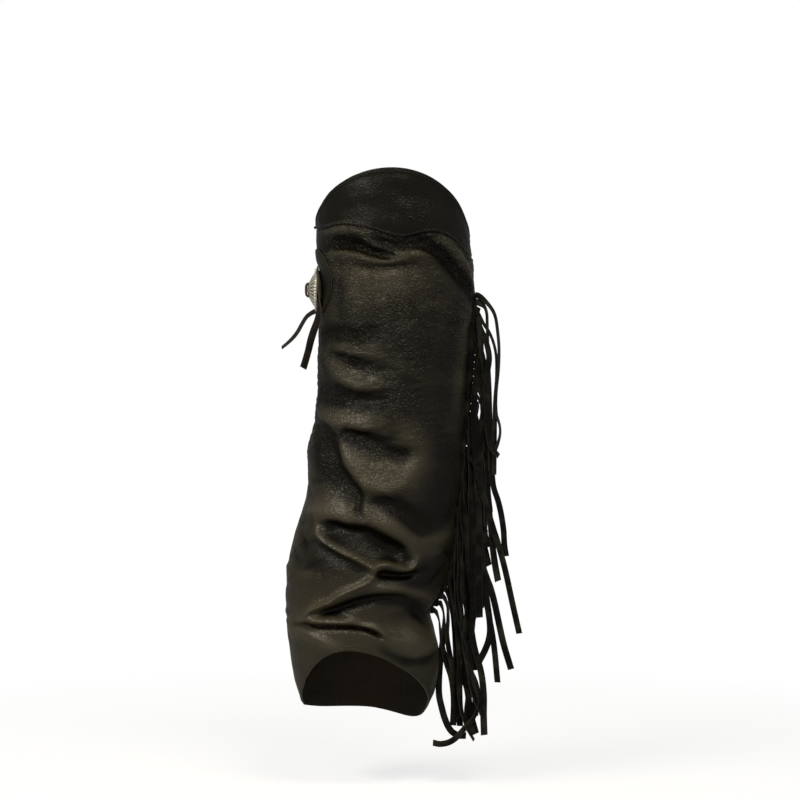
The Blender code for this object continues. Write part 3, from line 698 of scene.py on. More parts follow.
def addStraps(name, straps, finishes):
    # each strap: points, way along, across and out, width, thickness, and how its end is slanted
    points, faces, kinds, flat = [], [], [], []
    for strap in straps:
        spine, along, across, face = strap["points"], strap["along"], strap["across"], strap["face"]
        thick = strap["thick"]
        width = np.zeros(len(spine)) + strap["width"]
        cut = 0.3 * thick       # the edges' chamfer
        first = len(points)
        gone = np.concatenate([[0], np.cumsum(np.linalg.norm(np.diff(spine, axis=0), axis=1))])
        for n in range(len(spine)):
            w, t = width[n] / 2, thick / 2
            ring = ((t - cut, -w), (t, -w + cut), (t, w - cut), (t - cut, w),
                    (cut - t, w), (-t, w - cut), (-t, cut - w), (cut - t, -w))
            for u, v in ring:
                place = spine[n] + face[n] * u + across[n] * v
                if n == len(spine) - 1:
                    place = place + along[n] * strap.get("slant", 0.0) * v
                points.append(place * mm)
                flat.append(((v + strap.get("shift", 0.0)) * mm, gone[n] * mm))
        for n in range(len(spine) - 1):
            for k in range(8):
                m = (k + 1) % 8
                a, b = first + n * 8, first + (n + 1) * 8
                faces.append((a + k, a + m, b + m, b + k))
                kinds.append(stripKinds[k])
        faces.append(tuple(first + k for k in reversed(range(8))))
        faces.append(tuple(first + (len(spine) - 1) * 8 + k for k in range(8)))
        kinds += [2, 2]
    return meshFrom(name, points, faces, finishes, np.array(kinds, np.int32), flat)


# The lace's two free ends

laceEnds = {
    "width": 7.0, "thick": 1.2,
    "front": ((-77.0, -8, -3, -90), (-75.4, -13.5, -5, -88), (-74.2, -18, -9.5, -74),
              (-73.4, -21.5, -16, -54), (-73.5, -23, -24, -40), (-75.0, -23, -32, -28),
              (-78.0, -22.4, -40.5, -18), (-81.1, -21.6, -50, -10), (-83.9, -21, -61.5, -4),
              (-87.2, -20.4, -73, 0), (-89.0, -20.2, -78.5, 0)),
    "side": ((-77.2, 5, -10, -90), (-75.6, 7.6, -15, -90), (-75.2, 9, -18.2, -86),
             (-76.6, 10.2, -20, -78), (-80, 11, -21.6, -70), (-84, 10.8, -24, -64),
             (-87.6, 10.4, -27.4, -62), (-91.6, 9.4, -34, -61), (-95.4, 8.4, -41, -61),
             (-100, 7.4, -47.2, -63), (-105.6, 6.4, -52.8, -68), (-111.4, 5.6, -57.6, -73)),
}


laceLeather = makeStrapLeather("laceLeather", {
    "dark": (0.0026, 0.0021, 0.0016), "light": (0.0100, 0.0076, 0.0050), "roughness": 0.55,
    "mottle": 90, "shades": (0.45, 0.8), "nap": (1600, 500, 1), "napDetail": 3, "napStrength": 0.7})
laceEdge = makeCutEdge("laceEdge", (0.026, 0.018, 0.012))


def makeLaceEnd(name, node, rows, slant):
    line = wayPoints(rows)
    ease = np.linspace(0, 1, len(line))
    width = laceEnds["width"] * (1 - 0.05 * np.sin(ease * 9)) + 0.3 * ease
    made = addStraps(name, [strapOn(line, width, laceEnds["thick"], slant=slant)],
                     (laceLeather, laceLeather, laceEdge))
    settle(made, "lace", node)


makeLaceEnd("lace_tail_front", "lace_end_front", laceEnds["front"], -0.2)
makeLaceEnd("lace_tail_side", "lace_end_side", laceEnds["side"], -0.3)


# The leather panels

yokeSeam = splineThrough(*zip((-98, 61), (-60, 59), (-37, 61), (-20, 57), (5, 47), (35, 53), (50, 47),
                              (66, 35), (90, 32)))
hemLine = splineThrough(*zip((-98, -416), (-75, -403), (-50, -378), (-35, -363), (-12, -353), (8, -357),
                             (30, -371), (57, -393), (85, -418), (105, -428), (180, -427),
                             (230, -423), (262, -416)))
closingEdge = splineThrough(*zip((-440, -98), (-330, -98), (-302, -98), (-280, -92), (-266, -76),
                                 (-246, -58), (-228, -54), (-210, -62), (-192, -82), (-176, -95),
                                 (-155, -98), (-130, -98), (130, -98)))
headerReach = splineThrough(*zip((-321, 1.5), (-300, 4.5), (-270, 5.0), (-130, 5.0), (-100, 6.0), (-52, 6.4),
                                 (-30, 5.4), (-16, 4.0), (-5, 2.0)))

panels = {
    "closing": -98, "outer": 90,            # angles of the closing edge and of the outer seam
    "top": {"front": 115.5, "inner": 65.5, "outer": 53.5, "back": 40.0},    # heights of the open top
    "yoke": (250, 52), "front": (250, 440), "back": (230, 470),     # about how wide and high each is
    "rowStep": 1.35, "columnStep": 1.9,     # mm between the mesh's rows and columns
    "seamGap": -0.9,                        # the edges tuck under each other in the seam's groove
    "seamDip": 1.2, "seamWidth": 1.6,
    "bandHeight": 0.45, "bandWidth": 4.6,   # the turned edge of the open top
    "edgeDip": 0.35, "edgeWidth": 0.45,     # the rounding of a cut edge
    "headerSlot": 1.3, "headerFrom": -335, "headerTo": 9, "headerFade": 10,     # room for the fringe
}


def topEdge(angle):
    turn, top = np.radians(angle), panels["top"]
    side = np.where(np.sin(turn) > 0, top["outer"], top["inner"])
    high = side + (top["front"] - side) * np.cos(turn)
    return np.where(np.cos(turn) >= 0, high, side + (top["back"] - side) * np.cos(turn) ** 2)


def outerGap(z):
    fade = panels["headerFade"]
    inside = smoothStep((z - panels["headerFrom"]) / fade) * smoothStep((panels["headerTo"] - z) / fade)
    return panels["seamGap"] + (panels["headerSlot"] - panels["seamGap"]) * inside


def halfAngle(z, width):
    return np.degrees(width / (outerSide(z) - innerSide(z)))


closeRows = np.array([0, 0.3, 0.7, 1.2, 2.0, 3.2])      # mm from an edge
evenFrom = 4.8


def shares(length, step):
    # places from 0 to 1, close together near both edges and even between them
    count = int((length - 2 * evenFrom) / step) + 1
    middle = np.linspace(evenFrom, length - evenFrom, count)
    return np.concatenate([closeRows, middle, length - closeRows[::-1]]) / length


def bump(distance, height, reach):
    return height * np.exp(-(distance / reach) ** 2)


def wallGrid(low, high, startAngle, endAngle, heightRange, columnLength, rowLength):
    # heights and angles over a panel, row by row from below; heightRange gives each column's ends
    across, upward = shares(columnLength, panels["columnStep"]), shares(rowLength, panels["rowStep"])
    nominal = low + (high - low) * across
    bottoms, tops = heightRange(nominal)
    heights = bottoms + (tops - bottoms) * upward[:, None]
    starts, ends = startAngle(heights), endAngle(heights)
    return starts + (ends - starts) * across, heights


def panelLift(angles, heights, bottom, top, left, right):
    # each side is "seam", "edge" or "band"
    gaps = {"bottom": heights - heights[:1], "top": heights[-1:] - heights,
            "left": (angles - angles[:, :1]) * math.radians(arcRadius),
            "right": (angles[:, -1:] - angles) * math.radians(arcRadius)}
    lift = np.zeros(heights.shape)
    for side, kind in (("bottom", bottom), ("top", top), ("left", left), ("right", right)):
        if kind == "seam":
            lift -= bump(gaps[side], panels["seamDip"], panels["seamWidth"])
        else:
            lift -= bump(gaps[side], panels["edgeDip"], panels["edgeWidth"])
        if kind == "band":
            lift += panels["bandHeight"] * (1 - smoothStep((gaps[side] - panels["bandWidth"] + 1) / 1.4))
    return lift


def makePanel(name, grid, kinds, more=0.0):
    angles, heights = grid
    lift = panelLift(angles, heights, *kinds) + more
    outer = legPoint(angles, heights, lift)
    inner = legPoint(angles, heights, lift - hideThickness)
    flat = np.stack([np.radians(angles) * arcRadius, heights], -1) * mm
    made = shellBetween(name, outer, inner, flat, (blackHide, suedeSide, cutEdge))
    # painted highlight on the folds' crests and painted shade in their troughs (partly rubbed grey wear),
    # with the painted light and shade of the parts and patches
    folds = np.tanh(foldField(angles, heights)[0] / wrinklesAndShade["foldHeight"])
    rubbedAndShaded = wrinklesAndShade["foldLightAndShade"] * folds + paintedLightAndShade(angles, heights)
    return setShares(made, workedShare(angles, heights), rubbedAndShaded)


def setShares(made, worked, rubbedAndShaded):
    # how wrinkled each place is, and how much light or shade is painted on it, for the leather's shader
    for label, amount in (("worked", worked + 0 * rubbedAndShaded), ("rubbedAndShaded", rubbedAndShaded)):
        layer = made.data.attributes.new(label, "FLOAT", "POINT")
        layer.data.foreach_set("value", np.tile(amount.ravel(), 2).astype(np.float32))
    return made


def aboveSeam(angles, heights):
    # how far each place is above the yoke's seam, and a share that is 1 on the yoke
    above = heights - yokeSeam(np.clip(angles, panels["closing"], panels["outer"]))
    return above, smoothStep((above - 1) / 4)


def spotShare(angles, heights, angle, z, wide, high):
    return np.exp(-((angles - angle) / wide) ** 2 - ((heights - z) / high) ** 2)


# How finely wrinkled the leather is in its parts, and how much light and shade is painted on them
wrinklesAndShade = {
    "hem": 0.3, "leg": 1.0, "lowerLeg": 0.35, "yoke": 0.12, "tab": 0.15,
    "yokeSpot": 0.6, "yokeSpotPlace": (36, 72, 22, 18),     # angle, height, reach round and up
    # painted light low on the inner front side; painted shade on the yoke and in a line along its seam
    "litHem": 0.3, "yokeShade": 1.0, "seamShade": 1.9, "seamLine": 1.1,
    "foldLightAndShade": 1.25, "foldHeight": 3.0,        # a crest this high gets painted highlight and is rubbed grey, a trough gets painted shade
}


def workedShare(angles, heights):
    # most below the knee, least on the yoke and at the hem
    share = wrinklesAndShade["hem"] + (wrinklesAndShade["leg"] - wrinklesAndShade["hem"]) * smoothStep((heights + 250) / 110)
    share = share * (1 - wrinklesAndShade["lowerLeg"] * smoothStep((-60 - heights) / 60))
    yoke = aboveSeam(angles, heights)[1]
    spot = spotShare(angles, heights, *wrinklesAndShade["yokeSpotPlace"])
    return share * (1 - yoke) + yoke * (wrinklesAndShade["yoke"] + wrinklesAndShade["yokeSpot"] * spot)


# Patches of painted light (amount above 0) and painted shade (below 0): angle, height, reach round and up,
# amount
lightAndShadePatches = (
    (-4, -170, 20, 20, 0.8), (-29, -212, 14, 12, 0.3), (-30, -330, 45, 22, 0.5), (36, 70, 20, 16, 0.45),
    (-77, 0, 18, 60, -0.75), (-74, -100, 14, 50, -0.55), (52, -215, 20, 55, -1.0),
    (42, -95, 26, 60, -0.4), (0, -60, 42, 40, -0.3), (-52, -167, 12, 18, -1.0), (-36, -268, 22, 20, -0.6),
    (5, -246, 24, 12, -0.4), (40, -284, 26, 14, -0.9), (52, -332, 24, 20, -0.7), (-5, -122, 20, 14, -0.5),
    (0, -104, 60, 8, -0.3),
)


def paintedLightAndShade(angles, heights):
    # painted light low down on the inner front side, painted shade on the yoke and along its seam, and the
    # patches
    low = smoothStep((-190 - heights) / 130)
    share = wrinklesAndShade["litHem"] * low * (0.5 + 0.5 * np.cos(np.radians(angles + 65)))
    fromSeam, yoke = aboveSeam(angles, heights)
    seam = np.exp(-(fromSeam / wrinklesAndShade["seamLine"]) ** 2)
    front = angles < panels["outer"] + 1
    share = share - (wrinklesAndShade["yokeShade"] * yoke + wrinklesAndShade["seamShade"] * seam) * front
    for *place, amount in lightAndShadePatches:
        share = share + amount * spotShare(angles, heights, *place)
    return share


def frontStart(z):
    return closingEdge(z) + halfAngle(z, panels["seamGap"])


def frontEnd(z):
    return panels["outer"] - halfAngle(z, outerGap(z))


def backStart(z):
    return panels["outer"] + halfAngle(z, outerGap(z))


def backEnd(z):
    return closingEdge(z) + 360 - (frontStart(z) - closingEdge(z))


seamRolls = ((2.4, 0.9, 1.3), (5.2, -0.7, 1.6))      # how far below the seam, height, reach


def seamRoll(angles, heights):
    # the turned seam stands up below the yoke on the outer side
    below = yokeSeam(angles) - heights
    along = smoothStep((angles - 14) / 14) * smoothStep((94 - angles) / 10)
    return sum(bump(below - place, height, reach) for place, height, reach in seamRolls) * along


halfSeam = panels["seamGap"] / 2
frontSpan = (panels["closing"], panels["outer"], frontStart, frontEnd)
backSpan = (panels["outer"], panels["closing"] + 360, backStart, backEnd)
yokeGrid = wallGrid(*frontSpan, lambda a: (yokeSeam(a) + halfSeam, topEdge(a)), *panels["yoke"])
yokeLeather = makePanel("yoke_leather", yokeGrid, ("seam", "band", "seam", "seam"))
frontGrid = wallGrid(*frontSpan, lambda a: (hemLine(a), yokeSeam(a) - halfSeam), *panels["front"])
frontLeather = makePanel("front_leather", frontGrid, ("edge", "seam", "seam", "seam"),
                         seamRoll(*frontGrid))
backGrid = wallGrid(*backSpan, lambda a: (hemLine(a), topEdge(a)), *panels["back"])
backLeather = makePanel("back_leather", backGrid, ("edge", "band", "seam", "seam"))
print("panels ready, with", len(frontLeather.data.polygons), "and", len(backLeather.data.polygons), "faces")


# The closing tab and the round leather under the concho

tabFit = {"columns": 26, "roundColumns": 26, "rows": 38}


def makeTab():
    half, start, turnAt = closingTab["halfHeight"], closingTab["back"], closingTab["roundFrom"]
    lengths = list(np.linspace(start, turnAt, tabFit["columns"]))
    halves = [half] * len(lengths)
    for turn in np.radians(np.linspace(3, 87.5, tabFit["roundColumns"])):
        lengths.append(turnAt + half * math.sin(turn))
        halves.append(half * math.cos(turn))
    lengths, halves = np.array(lengths), np.array(halves)
    share = np.sin(np.linspace(-1, 1, tabFit["rows"]) * math.pi / 2)
    heights = closingTab["height"] + share[:, None] * halves
    along = np.broadcast_to(lengths, heights.shape)
    angles = closingTab["angle"] + np.degrees(along / arcRadius)
    fromEnd = half - np.hypot(np.maximum(along - turnAt, 0), heights - closingTab["height"])
    fromEdge = np.minimum(fromEnd, along - start)
    lift = closingTab["gap"] + closingTab["thick"] - bump(fromEdge, *closingTab["edge"])
    rise = closingTab["rise"] * (1 - smoothStep(np.hypot(along, heights) / closingTab["riseReach"]))
    outer = legPoint(angles, heights, lift + rise)
    inner = legPoint(angles, heights, closingTab["gap"] + rise)
    flat = np.stack([along, heights], -1) * mm
    made = shellBetween("tab_leather", outer, inner, flat, (blackHide, suedeSide, cutEdge))
    # painted shade: the tab darker all over, and darker still towards its bottom
    return setShares(made, wrinklesAndShade["tab"], -0.55 - 0.25 * smoothStep((20 - heights) / 30))


concho = {
    "radius": 21.2, "sheet": 1.0, "steps": 144, "flutes": 24, "fluteDepth": 0.35, "fluted": (8.6, 17.2),
    "slotCentre": 6.2, "slotHalfHeight": 1.3, "slotHalfLength": 4.2, "rim": 2.2,
    "bright": (0.42, 0.39, 0.31), "tarnished": (0.040, 0.033, 0.024),
    "darkRings": ((17.9, 0.5, 0.8), (8.3, 0.6, 0.6)),       # radius, width, how tarnished
    "darkFlutes": 0.75, "darkSlots": (0.8, 0.5),            # how tarnished, and how far from a slot
    "beads": {"Radius": 19.9, "Size": 1.15, "Count": 40, "Height": 1.25},
    "profile": ((21.2, 0.0), (21.2, 0.7), (20.9, 1.05), (18.4, 1.3), (17.9, 1.8), (17.3, 2.55),
                (14.5, 4.5), (11.0, 6.4), (7.5, 8.2), (4.5, 9.3), (2.2, 9.8)),
}

rosette = {
    "radius": 24.0, "hole": 2.0, "thick": 1.3,
    "cup": 0.6, "cupFrom": 21, "cupReach": 3,       # how far its rim bends out, above and below
    "fill": 3.4, "fillTo": 23,                      # how much thicker it may get to reach the tab
    "edge": (0.35, 0.5),
}


def conchoFrame():
    # it leans on the leather above and, over the lace, below
    stacked = 2 * closingTab["gap"] + closingTab["thick"] + rosette["thick"]
    top = legPoint(closingTab["angle"], concho["radius"], stacked + 0.3)
    bottom = legPoint(closingTab["angle"], -concho["radius"], stacked + 0.6 + laceEnds["thick"])
    up = Vector(top - bottom).normalized()
    axis = Vector((0, 1, 0)).cross(up).normalized()
    if axis.x > 0:
        axis.negate()
    turned = Matrix((Vector((0, 1, 0)), up, axis)).transposed().to_4x4()
    return Matrix.Translation(Vector((top + bottom) / 2)) @ turned


def makeRosette():
    # it lies flat under the concho, lower where the lace passes, and fills the room down to the tab
    radii = np.concatenate([np.linspace(rosette["hole"], rosette["radius"] - 1.4, 16),
                            rosette["radius"] - np.array([0.8, 0.4, 0.0])])
    turns = np.radians(np.arange(0, 360, 4))
    along = radii[:, None] * np.cos(turns)
    heights = radii[:, None] * np.sin(turns)
    under = legPoint(closingTab["angle"] + np.degrees(along / arcRadius), heights,
                     2 * closingTab["gap"] + closingTab["thick"] + 0.6)
    edge = bump(rosette["radius"] - radii, *rosette["edge"])[:, None]
    room = (laceEnds["thick"] + 0.1) * smoothStep(-heights / 7)      # the lace passes below
    outside = np.maximum(radii[:, None] - rosette["cupFrom"], 0) / rosette["cupReach"]
    level = rosette["cup"] * outside**2 * np.sin(turns) ** 2 - room - 0.15
    place = conchoFrame()
    turned = np.array(place.to_3x3()).T

    def placed(depth):
        local = np.stack([along, heights, depth + 0 * along], -1)
        return (local @ turned) * mm + np.array(place.translation)

    outer = placed(level - edge)
    inner = placed(level - rosette["thick"])
    fill = rosette["fill"] * (1 - smoothStep((radii[:, None] - rosette["fillTo"]) / 1.5))
    filled = placed(level - rosette["thick"] - fill)
    inner[..., 0] = np.clip(under[..., 0], inner[..., 0], np.maximum(filled[..., 0], inner[..., 0]))
    flat = np.stack([along, heights], -1) * mm
    made = shellBetween("rosette_leather", outer, inner, flat, (blackHide, suedeSide, cutEdge), True)
    # painted shade: the rosette darker all over
    return setShares(made, wrinklesAndShade["tab"], -0.4 + 0 * along)


tabLeather = makeTab()
rosetteLeather = makeRosette()


# The concho

def makeSilver():
    made, tree, shader = newFinish("agedSilver", concho["bright"], 0.3, 0.5, 1.0)
    spots = noiseOf(tree, placedBy(tree, "Object"), 420, 4, 0.65)
    amount = ranged(tree, computed(tree, "MULTIPLY_ADD", spots, 1.1, painted(tree, "tarnish")),
                    0.38, 1.10, 0, 1)
    setInputs(tree, shader, {"Base Color": blended(tree, amount, concho["bright"], concho["tarnished"]),
                             "Roughness": ranged(tree, amount, 0, 1, 0.26, 0.6),
                             "Normal": bumped(tree, spots, 0.00025, 0.6)})
    return made


agedSilver = makeSilver()
# painted shade: the inside of the concho's hollow is near black
hollowShade = makeCutEdge("hollowShade", (0.010, 0.009, 0.007))


def fluteShare(radii, turns):
    # 1 in the middle of a flute, 0 between the flutes and outside their ring
    first, last = concho["fluted"]
    ring = smoothStep((radii - first) / 2.5) * smoothStep((last - radii) / 2.0)
    return ring * (0.5 - 0.5 * np.cos(concho["flutes"] * turns)) ** 2


def turnedDisc():
    outside = smoothLine(np.array(concho["profile"])[2:], 4)
    outside = np.vstack([np.array(concho["profile"][:2]), outside])
    inside = [(r - 0.5, h - concho["sheet"]) for r, h in outside[6:]]
    outline = np.array(list(outside) + inside[::-1] + [(concho["radius"] - concho["rim"], 0.0)])
    steps = concho["steps"]
    turns = np.arange(steps) * 2 * math.pi / steps
    radii = outline[:, :1]
    flutes = fluteShare(radii, turns)
    flutes[len(outside):] = 0
    heights = outline[:, 1:] - concho["fluteDepth"] * flutes
    points = np.stack([radii * np.cos(turns), radii * np.sin(turns), heights], -1)
    mesh = bmesh.new()
    rings = [[mesh.verts.new(p) for p in row] for row in points]
    for low, high in zip(rings, rings[1:] + rings[:1]):
        if low is rings[len(outside) - 1]:
            continue
        for a in range(steps):
            b = (a + 1) % steps
            mesh.faces.new((low[a], low[b], high[b], high[a]))
    crown, hollow = rings[len(outside) - 1], rings[len(outside)]
    for ring, height in ((crown, concho["profile"][-1][1] + 0.12), (hollow, hollow[0].co.z + 0.1)):
        middle = mesh.verts.new((0, 0, height))
        for a in range(steps):
            mesh.faces.new((ring[a], ring[(a + 1) % steps], middle))
    bmesh.ops.recalc_face_normals(mesh, faces=mesh.faces)
    data = bpy.data.meshes.new("concho_metal")
    mesh.to_mesh(data)
    mesh.free()
    return addObject("concho_metal", data)


def cutSlots(disc):
    for side in (1, -1):
        bpy.ops.mesh.primitive_cube_add(size=1)
        cutter = bpy.context.object
        cutter.data.transform(
            Matrix.Translation((0, side * concho["slotCentre"], 6))
            @ Matrix.Diagonal((2 * concho["slotHalfLength"], 2 * concho["slotHalfHeight"], 14, 1)))
        cut = disc.modifiers.new("slot", "BOOLEAN")
        cut.operation = "DIFFERENCE"
        cut.solver = "EXACT"
        cut.object = cutter
        plainMesh(disc)
        bpy.data.objects.remove(cutter)


def plainMesh(piece):
    # turns what the modifiers make into the piece's own mesh
    graph = bpy.context.evaluated_depsgraph_get()
    graph.update()
    name = piece.data.name
    made = bpy.data.meshes.new_from_object(piece.evaluated_get(graph), preserve_all_data_layers=True,
                                           depsgraph=graph)
    piece.modifiers.clear()
    piece.data = made
    made.name = name


def startTree(name, values):
    # the inputs of a node tree, with the values that they start with
    tree = bpy.data.node_groups.new(name, "GeometryNodeTree")
    tree.interface.new_socket("Geometry", in_out="INPUT", socket_type="NodeSocketGeometry")
    for key, value in values.items():
        kind = "NodeSocketInt" if isinstance(value, int) else "NodeSocketFloat"
        tree.interface.new_socket(key, in_out="INPUT", socket_type=kind).default_value = value
    tree.interface.new_socket("Geometry", in_out="OUTPUT", socket_type="NodeSocketGeometry")
    return tree, addNode(tree, "NodeGroupInput").outputs


def closeTree(tree, geometry, finish):
    real = addNode(tree, "GeometryNodeRealizeInstances", {0: geometry})
    paint = addNode(tree, "GeometryNodeSetMaterial", {"Geometry": real.outputs[0], "Material": finish})
    addNode(tree, "NodeGroupOutput", {0: paint.outputs[0]})


def runTree(piece, tree, values):
    work = piece.modifiers.new("grown", "NODES")
    work.node_group = tree
    for item in tree.interface.items_tree:
        if item.in_out == "INPUT" and item.name in values:
            work[item.identifier] = values[item.name]
    plainMesh(piece)


def ropeRim(values):
    # beads laid aslant round a ring, like the strands of a rope
    tree, given = startTree("ropeRim", values)
    ring = addNode(tree, "GeometryNodeCurvePrimitiveCircle", {"Radius": given["Radius"]})
    spots = addNode(tree, "GeometryNodeCurveToPoints",
                    {"Curve": ring.outputs["Curve"], "Count": given["Count"]}, mode="COUNT").outputs
    bead = addNode(tree, "GeometryNodeMeshUVSphere", {"Segments": 12, "Rings": 7})
    turned = {"Rotation": spots["Rotation"], "Rotate By": (0, math.radians(38), 0)}
    lean = addNode(tree, "FunctionNodeRotateEuler", turned, space="LOCAL")
    longer = computed(tree, "MULTIPLY", given["Size"], 1.75)
    shape = addNode(tree, "ShaderNodeCombineXYZ", {"X": given["Size"], "Y": given["Size"], "Z": longer})
    place = addNode(tree, "GeometryNodeInstanceOnPoints",
                    {"Points": spots["Points"], "Instance": bead.outputs["Mesh"],
                     "Rotation": lean.outputs["Rotation"], "Scale": shape.outputs[0]})
    lift = addNode(tree, "ShaderNodeCombineXYZ", {"Z": given["Height"]})
    move = addNode(tree, "GeometryNodeTransform",
                   {"Geometry": place.outputs["Instances"], "Translation": lift.outputs[0]})
    join = addNode(tree, "GeometryNodeJoinGeometry", {0: move.outputs[0]})
    tree.links.new(given["Geometry"], join.inputs[0])
    closeTree(tree, join.outputs[0], agedSilver)
    return tree


def tarnishShare(data):
    # how dark the metal has gone: in the flutes, in two rings and along the slots
    places = np.empty(len(data.vertices) * 3)
    data.vertices.foreach_get("co", places)
    x, y = places.reshape(-1, 3).T[:2]
    reach = np.hypot(x, y)
    dark = concho["darkFlutes"] * fluteShare(reach, np.arctan2(y, x))
    for radius, width, amount in concho["darkRings"]:
        dark += bump(reach - radius, amount, width)
    slot = np.hypot(np.maximum(np.abs(x) - concho["slotHalfLength"], 0),
                    np.abs(np.abs(y) - concho["slotCentre"]) - concho["slotHalfHeight"])
    return np.clip(dark + bump(slot, *concho["darkSlots"]), 0, 1)


def makeConcho():
    disc = turnedDisc()
    cutSlots(disc)
    runTree(disc, ropeRim(concho["beads"]), concho["beads"])
    data = disc.data
    data.materials.clear()
    data.materials.append(agedSilver)
    data.materials.append(hollowShade)
    # faces inside the hollow take the painted shade
    for face in data.polygons:
        inside = math.hypot(face.center.x, face.center.y) < concho["radius"] - concho["rim"] - 0.4
        face.material_index = 1 if face.normal.z < -0.2 and inside else 0
    shade = data.attributes.new("tarnish", "FLOAT", "POINT")
    shade.data.foreach_set("value", tarnishShare(data).astype(np.float32))
    data.transform(conchoFrame() @ Matrix.Scale(mm, 4))
    data.shade_smooth()
    data.set_sharp_from_angle(angle=math.radians(38))
    return disc


conchoMetal = makeConcho()


# The lace over the concho, in the concho's own frame: out of one slot and into the other
bridge = {
    "thick": 2.2, "width": 6.6,
    "half": ((0, 5.9, 5.0), (0, 6.2, 8.0), (0, 6.2, 9.3), (0, 5.3, 10.5), (0, 3.2, 11.1)),
    "middle": (0, 0, 11.2),
}


def makeLaceBridge():
    other = [(x, -y, z) for x, y, z in reversed(bridge["half"])]
    line = wayPoints([*bridge["half"], bridge["middle"], *other], 0.7)
    along = np.gradient(line, axis=0)
    along /= np.linalg.norm(along, axis=1)[:, None]
    across = np.broadcast_to((1.0, 0, 0), line.shape)
    face = np.cross(across, along)
    place = conchoFrame()
    turned = np.array(place.to_3x3()).T
    points = line @ turned + np.array(place.translation) / mm
    return addStraps("lace_over_concho", [{
        "points": points, "along": along @ turned, "across": across @ turned, "face": face @ turned,
        "width": bridge["width"], "thick": bridge["thick"]}], (laceLeather, laceLeather, laceEdge))


laceBridge = makeLaceBridge()
print("closure ready")


# The fringe

fringe = {
    "seed": 21, "count": 46, "pitch": 7.0, "firstRoot": -5.0, "length": 174.0, "lengthSpread": 9,
    "strandWidth": 6.5, "strandThick": 1.0, "headerThick": 1.5, "header": (-321, -3),
    "points": 9,                    # of a loose strand's line
    "bundleFrom": -318, "bundleTo": -18, "lowest": -449,    # heights
    "depth": (-4.2, 4.6), "facing": (8, 58),
    "crossing": (8, 15), "crossingTo": -132,    # the strands that cross the gap beside the leg
}

# The bundle's two sides, seen from the front: height, inner side, outer side
bundle = ((-455, 62, 92), (-440, 62, 92), (-425, 62, 92.5), (-400, 62, 92), (-385, 62, 88), (-375, 61.5, 84),
          (-360, 61.5, 82), (-345, 61, 80), (-330, 56, 86), (-321, 50, 92), (-300, 52, 96),
          (-260, 60, 98), (-200, 66, 101), (-168, 70, 102), (-124, 75, 101.5), (-100, 77, 101),
          (-84, 78.5, 99), (-71, 80, 97), (-57, 81.5, 94.5), (-44, 82, 93), (-30, 83, 90),
          (-18, 83, 87))
bundleInner = splineThrough(columnOf(bundle, 0), columnOf(bundle, 1))
bundleOuter = splineThrough(columnOf(bundle, 0), columnOf(bundle, 2))

